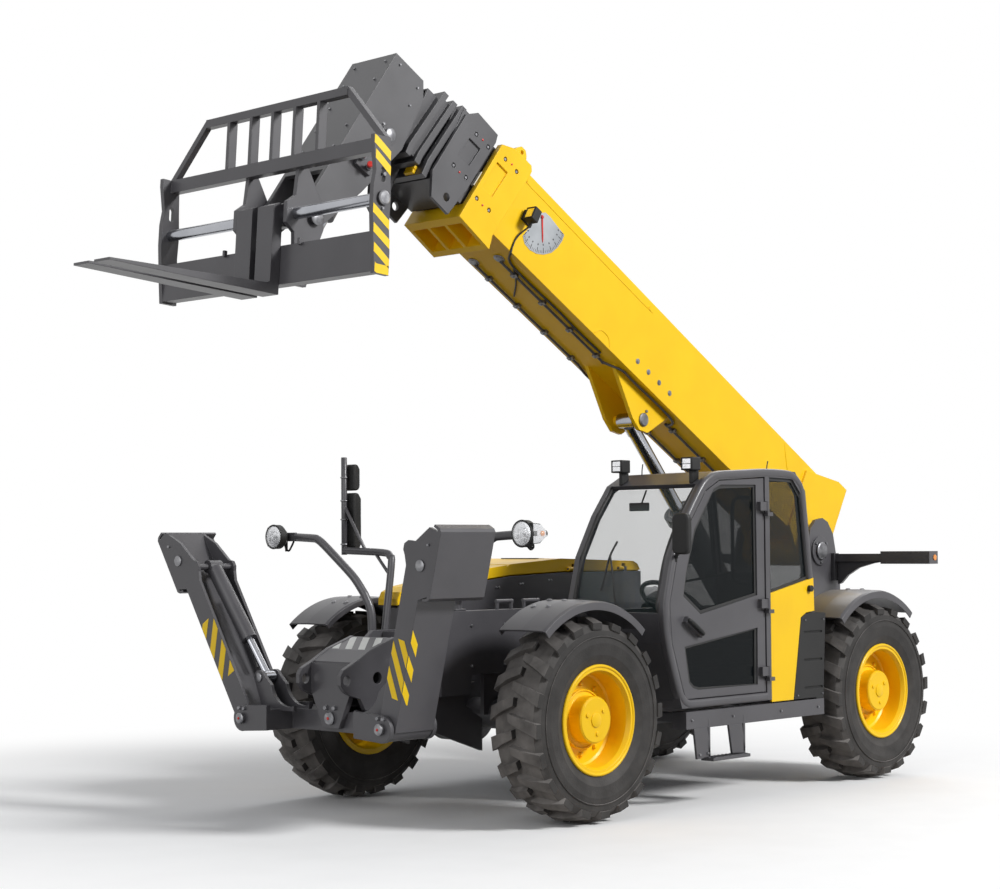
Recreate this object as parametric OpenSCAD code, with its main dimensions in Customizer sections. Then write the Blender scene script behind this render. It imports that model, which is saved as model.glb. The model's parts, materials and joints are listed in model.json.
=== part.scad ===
// Telescopic handler with a four section boom, fork carriage, cab and two front outriggers.
// Working frame: x forward, y left, z up, ground at z = 0, x = 0 midway between the axles.

/* [Wheels] */
// Distance between the axles
wheelbase = 3150; // [3000:10:3300]
// Distance between the left and right tread centres
track = 2000; // [1960:10:2060]
// Outside diameter over the lug tips
tyre_od = 1250; // [1200:10:1280]
// Tyre section width
tyre_w = 380; // [360:10:400]
// Height of the lugs
lug_h = 38; // [25:1:45]
// Lugs on each side of one tyre
lug_count = 20; // [16:1:24]
// Radius of the rim flange
rim_r = 335; // [320:5:345]
// Radius of the wheel spindle
spindle_r = 60; // [50:1:70]
// Radius of the steering kingpin
kingpin_r = 40; // [34:1:44]
// Half sweep of the mudguard towards the front
guard_front = 40; // [34:1:44]
// Half sweep of the mudguard towards the rear
guard_rear = 42; // [34:1:44]

/* [Frame] */
// Half width over the frame side plates
frame_half = 340; // [330:2:344]
// Thickness of the frame side plates
frame_t = 30; // [20:2:34]
// Height of the frame top edge
frame_top = 1150; // [1100:5:1180]
// Height of the belly
belly_z = 450; // [420:5:500]
// Radius of the rear tow pin bore
hitch_r = 20; // [16:1:24]
// Radius of the tie down holes in the nose ears
tie_r = 30; // [24:1:34]
// Radius of the lifting eye bores on the boom
eye_r = 14; // [12:1:16]

/* [Boom] */
// Boom angle above level in the stored pose
boom_rest = 30; // [25:1:35]
// Boom pivot, distance behind mid wheelbase
pivot_back = 2030; // [2000:5:2050]
// Boom pivot height
pivot_z = 1630; // [1600:5:1660]
// Width of the base section
boom_w = 420; // [400:5:430]
// Height of the base section
boom_h = 555; // [535:5:565]
// Wall of every section
boom_t = 12; // [10:1:14]
// Length of the base section ahead of the pivot
boom_len = 4350; // [4300:10:4400]
// Radius of the boom pivot pin
boom_pin_r = 50; // [40:1:60]
// Lift cylinder barrel radius
lift_r = 105; // [90:5:115]
// Lift cylinder rod radius
lift_rod_r = 50; // [44:1:54]

/* [Carriage] */
// Half width of the carriage bottom beam
carriage_half = 970; // [900:10:1000]
// Backward lean of the carriage in the stored pose
carriage_lean = 4; // [0:1:6]
// Radius of the round fork bar
fork_bar_r = 35; // [30:1:38]
// Fork blade width
fork_w = 140; // [120:5:150]
// Fork blade length
fork_len = 1200; // [1100:20:1250]
// Centre of each fork from the middle
fork_y = 95; // [92:1:300]

/* [Outriggers] */
// Arm pivot from the middle
leg_y = 620; // [600:5:640]
// Arm pivot height
leg_z = 630; // [610:5:650]
// Lean of the left arm in the stored pose
lean_left = 14; // [12:1:18]
// Lean of the right arm in the stored pose
lean_right = 32; // [26:1:36]
// Front face of the arms
leg_x = 2840; // [2820:5:2860]
// Depth of the arms front to back
leg_d = 310; // [290:5:320]

/* [Cab] */
// Outside face of the cab
cab_out = 1150; // [1130:5:1160]
// Height of the roof
roof_z = 2183; // [2170:1:2210]

/* [Hidden] */
$fn = 48;
cab_in = frame_half + 2;
hood_in = frame_half + 20;
hood_z = 1515;
seat_in = cab_in - 342;
run = 0.05;
tyre_r = tyre_od / 2;
axle_x = wheelbase / 2;
hub_y = track / 2;
pin_y = hub_y - 250;
px = -pivot_back;
pz = pivot_z;
saddle_z = 880;
tube_v = 45;
tube_mid = tube_v + boom_h / 2;
gap = 18;
w2 = boom_w - 2 * boom_t - 2 * gap;
h2 = boom_h - 2 * boom_t - 2 * gap;
w3 = w2 - 2 * boom_t - 2 * gap;
h3 = h2 - 2 * boom_t - 2 * gap;
w4 = w3 - 2 * boom_t - 2 * gap;
h4 = h3 - 2 * boom_t - 2 * gap;
reach = boom_len - 4350;
head_u = 5377 + reach;
head_v = -810;
lift_u = 2090;
lift_v = -126;
base_x = -1600;
base_z = 950;
tilt_u = 5116 + reach;
tilt_v = 20;
eye_x = -60;
eye_z = -310;
car_x = px + head_u * cos(boom_rest) - head_v * sin(boom_rest);
car_z = pz + head_u * sin(boom_rest) + head_v * cos(boom_rest);
lift_px = px + lift_u * cos(boom_rest) - lift_v * sin(boom_rest);
lift_pz = pz + lift_u * sin(boom_rest) + lift_v * cos(boom_rest);
lift_dx = lift_px - base_x;
lift_dz = lift_pz - base_z;
lift_len = sqrt(lift_dx * lift_dx + lift_dz * lift_dz);
lift_ang = atan2(lift_dz, lift_dx);
tilt_px = px + tilt_u * cos(boom_rest) - tilt_v * sin(boom_rest);
tilt_pz = pz + tilt_u * sin(boom_rest) + tilt_v * cos(boom_rest);
tilt_ex = car_x + eye_x * cos(carriage_lean) - eye_z * sin(carriage_lean);
tilt_ez = car_z + eye_x * sin(carriage_lean) + eye_z * cos(carriage_lean);
tilt_dx = tilt_ex - tilt_px;
tilt_dz = tilt_ez - tilt_pz;
tilt_len = sqrt(tilt_dx * tilt_dx + tilt_dz * tilt_dz);
tilt_ang = atan2(tilt_dz, tilt_dx);
cyl_s = 1060;
cyl_t = -60;
jack_y = 594;
jack_z = 876;
leg_mid = leg_x - leg_d / 2;
foot_left = 815;
foot_right = 1010;
bar_x = 141;
fork_tip = 180 + fork_len;
front_x = car_x + fork_tip * cos(carriage_lean) + 480 * sin(carriage_lean);
back_x = px - 245 * cos(boom_rest) - 690 * sin(boom_rest);
right_y = -(leg_y + 1420 * sin(lean_right) + 175 * cos(lean_right));
left_y = cab_out + 160;
ox = -(front_x + back_x) / 2;
oy = -(left_y + right_y) / 2;

c_yellow = [0.95, 0.62, 0.05];
c_dark = [0.16, 0.16, 0.18];
c_black = [0.05, 0.05, 0.05];
c_steel = [0.75, 0.76, 0.78];
c_glass = [0.55, 0.65, 0.7, 0.4];

// Moves the working frame to the middle of the footprint.
module place() {
  translate([ox, oy, 0]) children();
}

// Extrudes an x-z outline along y, from y0 over a width.
module slab(y0, w) {
  translate([0, y0 + w, 0]) rotate([90, 0, 0]) linear_extrude(w) children();
}

// Round bar between two points.
module bar(a, b, r) {
  d = b - a;
  n = norm(d);
  translate(a) rotate([0, acos(d[2] / n), atan2(d[1], d[0])]) cylinder(r = r, h = n, $fn = 32);
}

// Box given by its low and high corners.
module box(a, b) {
  translate(a) cube(b - a);
}

// Cylinder along y between two y values.
module yrod(x, z, r, y0, y1) {
  translate([x, y1, z]) rotate([90, 0, 0]) cylinder(r = r, h = y1 - y0);
}

// Cylinder along x between two x values.
module xrod(y, z, r, x0, x1) {
  translate([x0, y, z]) rotate([0, 90, 0]) cylinder(r = r, h = x1 - x0);
}

// Boom coordinates: x along the boom, z square to it, origin at the pivot.
module along_boom() {
  translate([px, 0, pz]) rotate([0, -boom_rest, 0]) children();
}

// Carriage coordinates: origin at its pivot.
module at_carriage() {
  translate([car_x, 0, car_z]) rotate([0, -carriage_lean, 0]) children();
}

// Rectangular tube along x, centred on y = 0 and on the section line.
module tube(u0, u1, w, h, t) {
  difference() {
    box([u0, -w / 2, tube_mid - h / 2], [u1, w / 2, tube_mid + h / 2]);
    box([u0 - 1, -w / 2 + t, tube_mid - h / 2 + t], [u1 + 1, w / 2 - t, tube_mid + h / 2 - t]);
  }
}

// Four wear pads around an inner section of the given outside size.
module pads(u0, u1, w, h) {
  for (s = [-1, 1]) {
    box([u0, s > 0 ? w / 2 + 0.3 : -w / 2 - gap - 1, tube_mid - h / 4],
      [u1, s > 0 ? w / 2 + gap + 1 : -w / 2 - 0.3, tube_mid + h / 4]);
    box([u0, -w / 3, s > 0 ? tube_mid + h / 2 + 0.3 : tube_mid - h / 2 - gap - 1],
      [u1, w / 3, s > 0 ? tube_mid + h / 2 + gap + 1 : tube_mid - h / 2 - 0.3]);
  }
}

// Collar around a section: outer box less the section's own outline.
module collar(u0, u1, half, v0, v1, w, h) {
  difference() {
    box([u0, -half, v0], [u1, half, v1]);
    box([u0 - 1, -w / 2 + 1, tube_mid - h / 2 + 1], [u1 + 1, w / 2 - 1, tube_mid + h / 2 - 1]);
  }
}

module side_plate() {
  polygon([[-2310, 740], [-2310, 1380], [-2260, 1600], [-2220, 1760], [-2150, 1850], [-2080, 1880],
    [-1990, 1865], [-1910, 1790], [-1880, 1680], [-1780, 1330], [-1600, frame_top], [2050, frame_top],
    [2250, 1000], [2350, 960], [2350, 620], [2250, 575], [axle_x + 525, 526], [axle_x + 156, 403],
    [axle_x + 156, 604],
    [axle_x + 310, 690], [axle_x + 330, saddle_z],
    [axle_x - 330, saddle_z], [axle_x - 560, belly_z], [-axle_x + 560, belly_z], [-axle_x + 330, saddle_z],
    [-axle_x - 330, saddle_z], [-axle_x - 480, 740]]);
}

module frame() {
  color(c_dark) {
    for (s = [-frame_half, frame_half - frame_t]) {
      slab(s, frame_t) side_plate();
    }
    for (s = [-1, 1]) {
      yrod(px, pz, 110, s > 0 ? frame_half - 1 : -frame_half - 15,
        s > 0 ? frame_half + 15 : -frame_half + 1);
    }
    yrod(px, pz, boom_pin_r, -frame_half - 20, frame_half + 20);
    // belly, cross plates and rear plate
    box([-axle_x + 620, -frame_half + frame_t, belly_z], [axle_x - 620, frame_half - frame_t,
      belly_z + 20]);
    box([-2300, -frame_half + frame_t, 750], [-2270, frame_half - frame_t, 1300]);
    box([axle_x + 360, -frame_half + frame_t, 900], [axle_x + 390, frame_half - frame_t, 1140]);
    box([2300, -frame_half + frame_t, 640], [2330, frame_half - frame_t, 940]);
    // lift cylinder foot
    for (s = [-1, 1]) {
      box([base_x - 130, s > 0 ? 115 : -140, 900], [base_x + 130, s > 0 ? 140 : -115, 1060]);
      box([base_x - 130, s > 0 ? 140 : -frame_half + frame_t, 900],
        [base_x - 100, s > 0 ? frame_half - frame_t : -140, 1060]);
    }
    yrod(base_x, base_z, 45, -140, 140);
    // tow hitch at the rear
    difference() {
      union() {
        box([-2420, -70, 800], [-2300, 70, 830]);
        box([-2420, -70, 890], [-2300, 70, 920]);
      }
      translate([-2370, 0, 700]) cylinder(r = hitch_r, h = 400);
    }
  }
}

module nose_side() {
  polygon([[2352, 1010], [2352, 700], [2600, 700], [2640, 770], [2710, 790], [2770, 820], [2800, 860],
    [2800, 915],
    [2775, 950], [2690, 990], [2560, 1060], [2352, 1130]]);
}

module nose() {
  color(c_dark) {
    difference() {
      for (s = [-200, 170]) {
        slab(s, 30) nose_side();
      }
      yrod(2750, 885, tie_r, -260, 260);
      yrod(2500, 890, 36, -260, 260);
    }
    // front V plate and its pin
    translate([2700, 0, 0]) rotate([90, 0, -90]) linear_extrude(40)
      polygon([[-171, 980], [-171, 800], [-70, 590], [70, 590], [171, 800], [171, 980]]);
    xrod(0, 650, 22, 2700, 2720);
    // sloping top plate
    slab(-171, 342) polygon([[2352, 1096], [2352, 1126], [2560, 1056], [2680, 990], [2680, 955], [2560,
      1024]]);
    box([2350, -frame_half, 640], [2370, frame_half, 950]);
    box([2350, -172, 940], [2370, 172, 1110]);
  }
}

module stabilizer_beam() {
  color(c_dark) {
    box([2370, -leg_y + 90, 566], [leg_x - 180, leg_y - 90, 690]);
    for (s = [-1, 1]) {
      // arm brackets in front of and behind each arm
      for (x = [leg_x + 5, leg_x - leg_d - 35]) {
        xrod(s * leg_y, leg_z, 80, x, x + 30);
        translate([x, 0, 0]) rotate([90, 0, 90]) linear_extrude(30)
          polygon([[s * (leg_y - 230), 566], [s * leg_y, leg_z - 79], [s * leg_y, leg_z + 79],
            [s * (leg_y - 230), 720]]);
      }
      box([leg_x - 184, s > 0 ? leg_y - 230 : -leg_y + 130, 566], [leg_x + 34,
        s > 0 ? leg_y - 130 : -leg_y + 230, 690]);
      // jack lugs
      for (x = [leg_mid - 75, leg_mid + 50]) {
        xrod(s * jack_y, jack_z, 45, x, x + 25);
        translate([x, 0, 0]) rotate([90, 0, 90]) linear_extrude(25) difference() {
          polygon([[s * 270, 680], [s * 560, 680], [s * (jack_y + 40), jack_z - 18], [s * (jack_y - 38),
            jack_z + 22],
            [s * (jack_y - 130), jack_z - 60], [s * 270, 730]]);
          translate([s * 322, 871]) circle(r = 165);
        }
      }
      box([leg_x - 190, s > 0 ? 420 : -528, 670], [leg_mid + 74, s > 0 ? 528 : -420, 689]);
    }
    for (s = [-1, 1]) {
      xrod(s * leg_y, leg_z, 30, leg_x - leg_d - 40, leg_x + 45);
      xrod(s * jack_y, jack_z, 20, leg_mid - 75, leg_mid - 45);
      xrod(s * jack_y, jack_z, 20, leg_mid + 45, leg_mid + 75);
    }
  }
}

module axle(x0) {
  translate([x0, 0, tyre_r]) {
    difference() {
      union() {
        rotate([90, 0, 0]) cylinder(r = 95, h = 2 * pin_y - 280, center = true);
        rotate([90, 0, 0]) cylinder(r = 190, h = 260, center = true);
        for (s = [-frame_half, frame_half - frame_t]) {
          box([-140, s, 0], [140, s + frame_t, saddle_z - tyre_r]);
        }
        for (s = [-1, 1]) {
          box([-85, s > 0 ? pin_y - 160 : -pin_y + 120, -225], [85, s > 0 ? pin_y - 120 : -pin_y + 160,
            225]);
          for (z = [-225, 180]) {
            box([-80, s > 0 ? pin_y - 121 : -pin_y, z], [80, s > 0 ? pin_y : -pin_y + 121, z + 45]);
            translate([0, s * pin_y, z]) cylinder(r = 80, h = 45);
          }
        }
      }
      for (s = [-1, 1]) {
        translate([0, s * pin_y, -300]) cylinder(r = kingpin_r + run, h = 600);
      }
    }
  }
}

module front_axle() {
  color(c_dark) axle(axle_x);
}

module rear_axle() {
  color(c_dark) axle(-axle_x);
}

// Steering knuckle with its mudguard, drawn for a left front wheel at the axle centre.
module knuckle(f) {
  translate([0, pin_y, 0]) {
    cylinder(r = kingpin_r, h = 450, center = true);
    cylinder(r = 72, h = 340, center = true);
    rotate([-90, 0, 0]) cylinder(r = spindle_r, h = 300);
    rotate([-90, 0, 0]) translate([0, 0, 105]) cylinder(r = 190, h = 35);
    // guard bracket
    box([-200, 12, -60], [-40, 52, 60]);
    box([-200, 34, -60], [-120, 52, tyre_r + 66]);
  }
  translate([0, pin_y + 20, 0]) rotate([-90, 0, 0])
    rotate([0, 0, f > 0 ? -90 - guard_rear : -90 - guard_front])
    rotate_extrude(angle = guard_front + guard_rear, $fn = 96)
    translate([tyre_r + 85, 0]) polygon([[0, 12], [-30, 6], [-30, 0], [4, 0], [12, 14], [16, tyre_w / 2],
      [10, tyre_w - 24], [0, tyre_w - 5], [-46, tyre_w - 5], [-46, tyre_w - 12], [-6, tyre_w - 14], [0,
      tyre_w - 30],
      [4, tyre_w / 2]]);
}

module knuckle_at(fx, sy) {
  translate([fx * axle_x, 0, tyre_r]) {
    if (sy > 0) {
      knuckle(fx);
    } else {
      mirror([0, 1, 0]) knuckle(fx);
    }
  }
}

module knuckle_fl() { color(c_dark) knuckle_at(1, 1); }
module knuckle_fr() { color(c_dark) knuckle_at(1, -1); }
module knuckle_rl() { color(c_dark) knuckle_at(-1, 1); }
module knuckle_rr() { color(c_dark) knuckle_at(-1, -1); }

// Tyre about the z axis, outside face up.
module tyre() {
  hw = tyre_w / 2;
  rb = tyre_r - lug_h;
  rotate_extrude($fn = 72) polygon([[rim_r - 25, -hw + 45], [rim_r + 4, -hw + 30], [rim_r + 60, -hw + 6],
    [rim_r + 130, -hw], [rb - 45, -hw + 12], [rb - 8, -hw + 40], [rb, 0], [rb - 8, hw - 40],
    [rb - 45, hw - 12], [rim_r + 130, hw], [rim_r + 60, hw - 6], [rim_r + 4, hw - 30], [rim_r - 25,
    hw - 45]]);
  for (s = [0, 1]) {
    for (i = [0 : lug_count - 1]) {
      mirror([0, 0, s]) rotate([0, 0, (i + s / 2) * 360 / lug_count]) lug(hw, rb);
    }
  }
}

module lug(hw, rb) {
  top = sqrt(tyre_r * tyre_r - 72 * 72);
  drop = 34;
  z0 = hw * 0.35;
  difference() {
    translate([rb - 40, 0, 0]) rotate([90, 0, 90]) linear_extrude(top - rb + 40)
      polygon([[-72, -16], [-20, -16], [20, hw * 0.42], [72, hw - 6], [-14, hw - 6], [-46, hw * 0.46]]);
    translate([top, -150, z0]) rotate([0, -atan2(drop, hw - z0), 0]) cube([100, 300, 300]);
  }
}

module rim() {
  hw = tyre_w / 2;
  difference() {
    rotate_extrude($fn = 72) polygon([[rim_r, -hw + 24], [rim_r, -hw + 30.5], [rim_r - 25.5, -hw + 44],
      [rim_r - 25.5, hw - 44], [rim_r, hw - 30.5], [rim_r, hw - 24], [rim_r - 35, hw - 24], [rim_r - 50,
      hw - 50],
      [rim_r - 50, 20], [rim_r - 65, 10], [176, 16], [176, 36], [144, 44], [144, 128], [134, 140], [0, 140],
      [0, -90], [165, -90], [165, -30], [rim_r - 65, -14], [rim_r - 50, -30], [rim_r - 50, -hw + 50],
      [rim_r - 35, -hw + 24]]);
    translate([0, 0, -100]) cylinder(r = spindle_r + run, h = 170);
  }
}

module wheel_at(fx, sy) {
  translate([fx * axle_x, sy * hub_y, tyre_r]) rotate([-90 * sy, 0, 0]) children();
}

module tyre_fl() { color(c_black) wheel_at(1, 1) tyre(); }
module tyre_fr() { color(c_black) wheel_at(1, -1) tyre(); }
module tyre_rl() { color(c_black) wheel_at(-1, 1) tyre(); }
module tyre_rr() { color(c_black) wheel_at(-1, -1) tyre(); }
module rim_fl() { color(c_yellow) wheel_at(1, 1) rim(); }
module rim_fr() { color(c_yellow) wheel_at(1, -1) rim(); }
module rim_rl() { color(c_yellow) wheel_at(-1, 1) rim(); }
module rim_rr() { color(c_yellow) wheel_at(-1, -1) rim(); }

// Engine side, right of the frame.
module engine_block() {
  color(c_black) box([-520, -1020, 580], [640, -460, 1270]);
}

module engine_bay() {
  color(c_dark) {
    box([-720, -1150, 560], [780, -frame_half, 580]);
    difference() {
      box([-720, -1150, 579], [780, -1130, 1290]);
      for (i = [0 : 6]) {
        box([-500 + i * 150, -1160, 760], [-420 + i * 150, -1120, 1180]);
      }
    }
    box([-720, -1131, 579], [-700, -frame_half - 14, 1290]);
    box([760, -1131, 579], [780, -frame_half - 14, 1290]);
    // inner wall, which follows the hood's edge beside the boom
    slab(-frame_half - 20, 20) polygon([[-701, 579], [761, 579], [761, 1100], [1780, 1100], [1780,
      1290], [1640, 1352],
      [1021, 1442], [704, 1474], [166, 1492], [-701, 1492]]);
    // narrow front end beside the boom
    box([779, -frame_half - 140, 1100], [1780, -frame_half - 19, 1120]);
    box([1760, -frame_half - 140, 1119], [1780, -frame_half - 19, 1280]);
    box([779, -frame_half - 140, 1119], [1761, -frame_half - 126, 1280]);
    for (x = [-500, 60]) {
      box([x - 40, -frame_half - 14, hood_z - 30], [x - 10, -frame_half, hood_z + 14]);
      xrod(-frame_half - 10, hood_z, 8, x - 40, x + 50);
    }
  }
}

module hood() {
  color(c_yellow) {
    difference() {
      union() {
        difference() {
          slab(-1150, 1150 - hood_in) polygon([[-720, 1300], [-720, 1500], [-690, 1545], [-640, 1566],
            [165, 1591],
            [700, 1556], [750, 1530], [780, 1300]]);
          slab(-1130, 1110 - hood_in) polygon([[-700, 1290], [-700, 1494], [-677, 1528], [-636, 1546],
            [164, 1571],
            [694, 1536], [732, 1517], [760, 1290]]);
        }
        // narrow front end beside the boom
        difference() {
          slab(-hood_in - 180, 180) polygon([[735, 1300], [735, 1550], [1020, 1519], [1680, 1418],
            [1760, 1385],
            [1785, 1340], [1785, 1300]]);
          slab(-hood_in - 165, 150) polygon([[757, 1290], [757, 1532], [1018, 1503], [1674, 1403],
            [1748, 1373],
            [1770, 1336], [1770, 1290]]);
        }
      }
      // cut back along the inner wall
      slab(-hood_in - 21, 30) polygon([[-730, 1280], [-730, 1500], [166, 1500], [704, 1482], [1021, 1450],
        [1640, 1360], [1795, 1295], [1795, 1280]]);
      // notches over the hinge brackets
      for (x = [-500, 60]) {
        box([x - 46, -hood_in - 21, 1480], [x - 5, -hood_in + 1, 1550]);
      }
    }
    for (x = [-500, 60]) {
      difference() {
        union() {
          xrod(-frame_half - 10, hood_z, 15, x - 4, x + 44);
          box([x - 4, -hood_in - 2, hood_z], [x + 44, -frame_half - 10, hood_z + 15]);
        }
        xrod(-frame_half - 10, hood_z, 8 + run, x - 41, x + 51);
      }
    }
  }
}

cab_outer = [[740, 640], [888, 1057], [907, 1315], [827, 1604], [661, 1877], [496, 2076], [332,
  roof_z - 29],
  [-181, roof_z], [-540, roof_z - 9], [-660, 2045], [-738, 1447], [-762, 1218], [-762, 640]];
cab_inner = [[705, 690], [838, 1060], [857, 1310], [780, 1585], [618, 1850], [465, 2035], [320,
  roof_z - 79],
  [-181, roof_z - 50], [-510, roof_z - 59], [-612, 2020], [-688, 1445], [-712, 1215], [-712, 690]];
door_outer = [[697, 698], [829, 1061], [848, 1309], [771, 1581], [610, 1843], [460, 2026], [318,
  roof_z - 87],
  [-177, roof_z - 58], [-177, 698]];
door_high = [[-92, 1342], [-88, roof_z - 105], [301, roof_z - 111], [378, roof_z - 139], [590, 1778],
  [680, 1504], [711, 1352], [531, 1233]];
door_low = [[-86, 750], [-90, 1127], [704, 1031], [662, 800], [620, 765], [560, 750]];
quarter = [[-236, 1352], [-236, roof_z - 51.6], [-510, roof_z - 59], [-612, 2020], [-688, 1445],
  [-688.7, 1438]];
far_side = [[838, 1250], [852, 1310], [775, 1583], [614, 1848], [462, 2030], [319, roof_z - 82],
  [-181, roof_z - 54], [-508, roof_z - 63], [-608, 2018], [-684, 1445], [-704, 1250]];
ring_t = 60;
panel_t = 14.5;
hinge_z = [800, 1250, 1900];
hinge_x = -181;

module cab_frame() {
  color(c_dark) {
    // door side ring with the hinge pillar
    difference() {
      slab(cab_out - ring_t, ring_t) difference() {
        polygon(cab_outer);
        polygon(cab_inner);
      }
      // seat of the side panel and the tank cover
      slab(cab_out - panel_t, panel_t + 1) polygon([[-237, 630], [-237, 1352], [-775, 1454], [-775, 630]]);
    }
    box([-236, cab_out - ring_t, 685], [-186, cab_out, roof_z - 45]);
    for (z = hinge_z) {
      box([-230, cab_out - 1, z - 30], [-170, cab_out + 34, z - 5]);
      translate([hinge_x, cab_out + 20, z - 30]) cylinder(r = 8, h = 95);
    }
    // boom side ring, closed below the window
    slab(cab_in, 40) difference() {
      polygon(cab_outer);
      polygon(far_side);
    }
    // roof, floor, rear and front lower walls
    slab(cab_in + 39, cab_out - ring_t - cab_in - 38) union() {
      polygon([[496, 2076], [332, roof_z - 29], [-181, roof_z], [-540, roof_z - 9], [-600, 2110],
        [-510, roof_z - 45], [-181, roof_z - 36], [320, roof_z - 65], [476, 2050]]);
      polygon([[740, 640], [760, 690], [-762, 690], [-762, 640]]);
      polygon([[-762, 680], [-732, 680], [-708, 1215], [-698, 1290], [-728, 1290], [-762, 1218]]);
      polygon([[740, 640], [888, 1057], [904, 1250], [870, 1250], [854, 1060], [714, 680]]);
    }
  }
}

module cab_glass() {
  color(c_glass) {
    slab(cab_in + 40, cab_out - ring_t - cab_in - 40) {
      polygon([[880, 1252], [885, 1315], [806, 1598], [643, 1866], [492, 2046], [484, 2040], [634, 1860],
        [797, 1594], [876, 1314], [871, 1252]]);
      polygon([[-590, 2100], [-640, 2040], [-717, 1450], [-726, 1292], [-718, 1292], [-709, 1449],
        [-631, 2036],
        [-583, 2094]]);
    }
    slab(cab_in + 14, 8) polygon(far_side);
    slab(cab_out - 30, 8) polygon(quarter);
  }
}

module seat() {
  color(c_black) translate([0, seat_in, 0]) {
    box([-420, 560, 690], [0, 900, 870]);
    box([-470, 500, 861], [40, 960, 1000]);
    translate([-470, 500, 960]) rotate([0, -12, 0]) cube([120, 460, 560]);
    box([-440, 420, 861], [-40, 501, 1150]);
  }
}

module cab_controls() {
  color(c_black) translate([0, seat_in, 0]) {
    box([520, 480, 690], [690, 960, 1040]);
    bar([560, 720, 1030], [330, 720, 1320], 28);
    translate([330, 720, 1320]) rotate([0, -38.4, 0]) {
      rotate_extrude($fn = 36) translate([185, 0]) circle(r = 16, $fn = 16);
      translate([0, 0, -10]) cylinder(r = 50, h = 24);
      for (a = [30, 150, 270]) {
        rotate([0, 0, a]) box([40, -16, -7], [178, 16, 7]);
      }
    }
    bar([-100, 450, 1157], [-60, 450, 1290], 22);
    box([-140, 425, 1150], [-60, 475, 1160]);
  }
}

module side_panel() {
  color(c_yellow) {
    slab(cab_out - panel_t, panel_t) polygon([[-237, 625], [-237, 1352], [-745, 1448], [-752, 1222],
      [-650, 1210], [-588, 1180], [-490, 625]]);
    // rib that fills the opening behind the plate
    slab(cab_out - 30, 16) polygon([[-236, 690], [-236, 1352], [-688.7, 1438], [-709, 1243], [-660,
      1215], [-588, 1180], [-502, 690]]);
  }
}

module tank_cover() {
  color(c_black) {
    difference() {
      union() {
        slab(cab_out - panel_t, panel_t) polygon([[-495, 625], [-593, 1176], [-654, 1204], [-764, 1212],
          [-764, 625]]);
        intersection() {
          translate([0, 0, 615]) linear_extrude(600)
            polygon([[-762, cab_out], [-888, cab_out], [-888, cab_out - 28], [-800, cab_out - 220], [-762,
              cab_out - 220]]);
          slab(cab_out - 221, 222) polygon([[-761, 615], [-850, 615], [-886, 1204], [-761, 1212]]);
        }
      }
      for (z = [690, 880, 1070]) {
        box([-840, cab_out - 8, z], [-620, cab_out + 1, z + 14]);
      }
    }
    yrod(-690, 1375, 22, cab_out, cab_out + 24);
  }
}

module sill_step() {
  color(c_dark) {
    box([-856, cab_out - 110, 505], [700, cab_out, 615]);
    box([-800, frame_half, 540], [-740, cab_out - 109, 600]);
    box([560, frame_half, 540], [620, cab_out - 109, 600]);
    for (x = [70, 450]) {
      box([x, cab_out - 60, 290], [x + 20, cab_out + 1, 560]);
    }
    box([70, cab_out - 60, 290], [470, cab_out + 40, 310]);
  }
}

module front_box() {
  color(c_dark) {
    slab(frame_half, 75) polygon([[950, 900], [1890, 886], [1925, 765], [2170, 765], [2170, 1225],
      [2155, 1260],
      [2120, 1282], [950, 1282]]);
    for (x = [1250, 1500]) {
      bar([x, frame_half + 40, 1275], [x, frame_half + 40, 1335], 12);
      bar([x + 130, frame_half + 40, 1275], [x + 130, frame_half + 40, 1335], 12);
      bar([x - 12, frame_half + 40, 1333], [x + 142, frame_half + 40, 1333], 12);
    }
  }
}

// One tube through a list of points: each length is let into the one before, which runs on past the corner.
module tube_path(p, r) {
  for (i = [0 : len(p) - 2]) {
    d = (p[i + 1] - p[i]) / norm(p[i + 1] - p[i]);
    bar(p[i], p[i + 1] + (i < len(p) - 2 ? r : 0) * d, r - 2 * i);
  }
}

module lamp_guards() {
  ty = frame_half + 45;
  color(c_dark) {
    tube_path([[1991, -ty, 1040], [1991, -ty, 1290], [2030, -ty - 100, 1470], [2090, -720, 1690], [2094,
      -790, 1738],
      [2080, -1040, 1750]], 27);
    tube_path([[1991, ty, 1290], [1991, ty, 1330], [2030, ty + 100, 1480], [2090, 720, 1690], [2094,
      790, 1738],
      [2080, 1040, 1750]], 27);
    for (s = [-1, 1]) {
      box([2085, s > 0 ? 1000 : -1115, 1722], [2105, s > 0 ? 1115 : -1000, 1780]);
    }
    box([1940, -frame_half - 90, 980], [2030, -frame_half, 1090]);
    box([1945, frame_half + 1, 1282], [2037, frame_half + 74, 1296]);
    box([1870, -frame_half - 60, 1000], [1941, -frame_half, 1080]);
    // mirror tube with its post and braces
    tube_path([[1905, -frame_half - 30, 1050], [1806, -frame_half - 30, 1592], [1800, -frame_half - 70,
      1640],
      [1800, -850, 1658]], 24);
    bar([1800, -850, 1630], [1800, -850, 2280], 20);
    bar([1800, -850, 1960], [1800, -640, 1650], 11);
    bar([1800, -560, 1650], [1826, -frame_half - 32, 1480], 11);
    // two mirrors behind the post
    slab(-897, 120) polygon([[1776, 1680], [1776, 2034], [1762, 2044], [1735, 2040], [1715, 2010],
      [1712, 1700],
      [1725, 1674], [1762, 1668]]);
    slab(-897, 120) polygon([[1776, 2066], [1776, 2224], [1762, 2234], [1740, 2230], [1722, 2202],
      [1724, 2080],
      [1736, 2062], [1764, 2056]]);
    for (z = [1850, 2130]) {
      box([1770, -860, z], [1800, -840, z + 30]);
    }
  }
}

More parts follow.
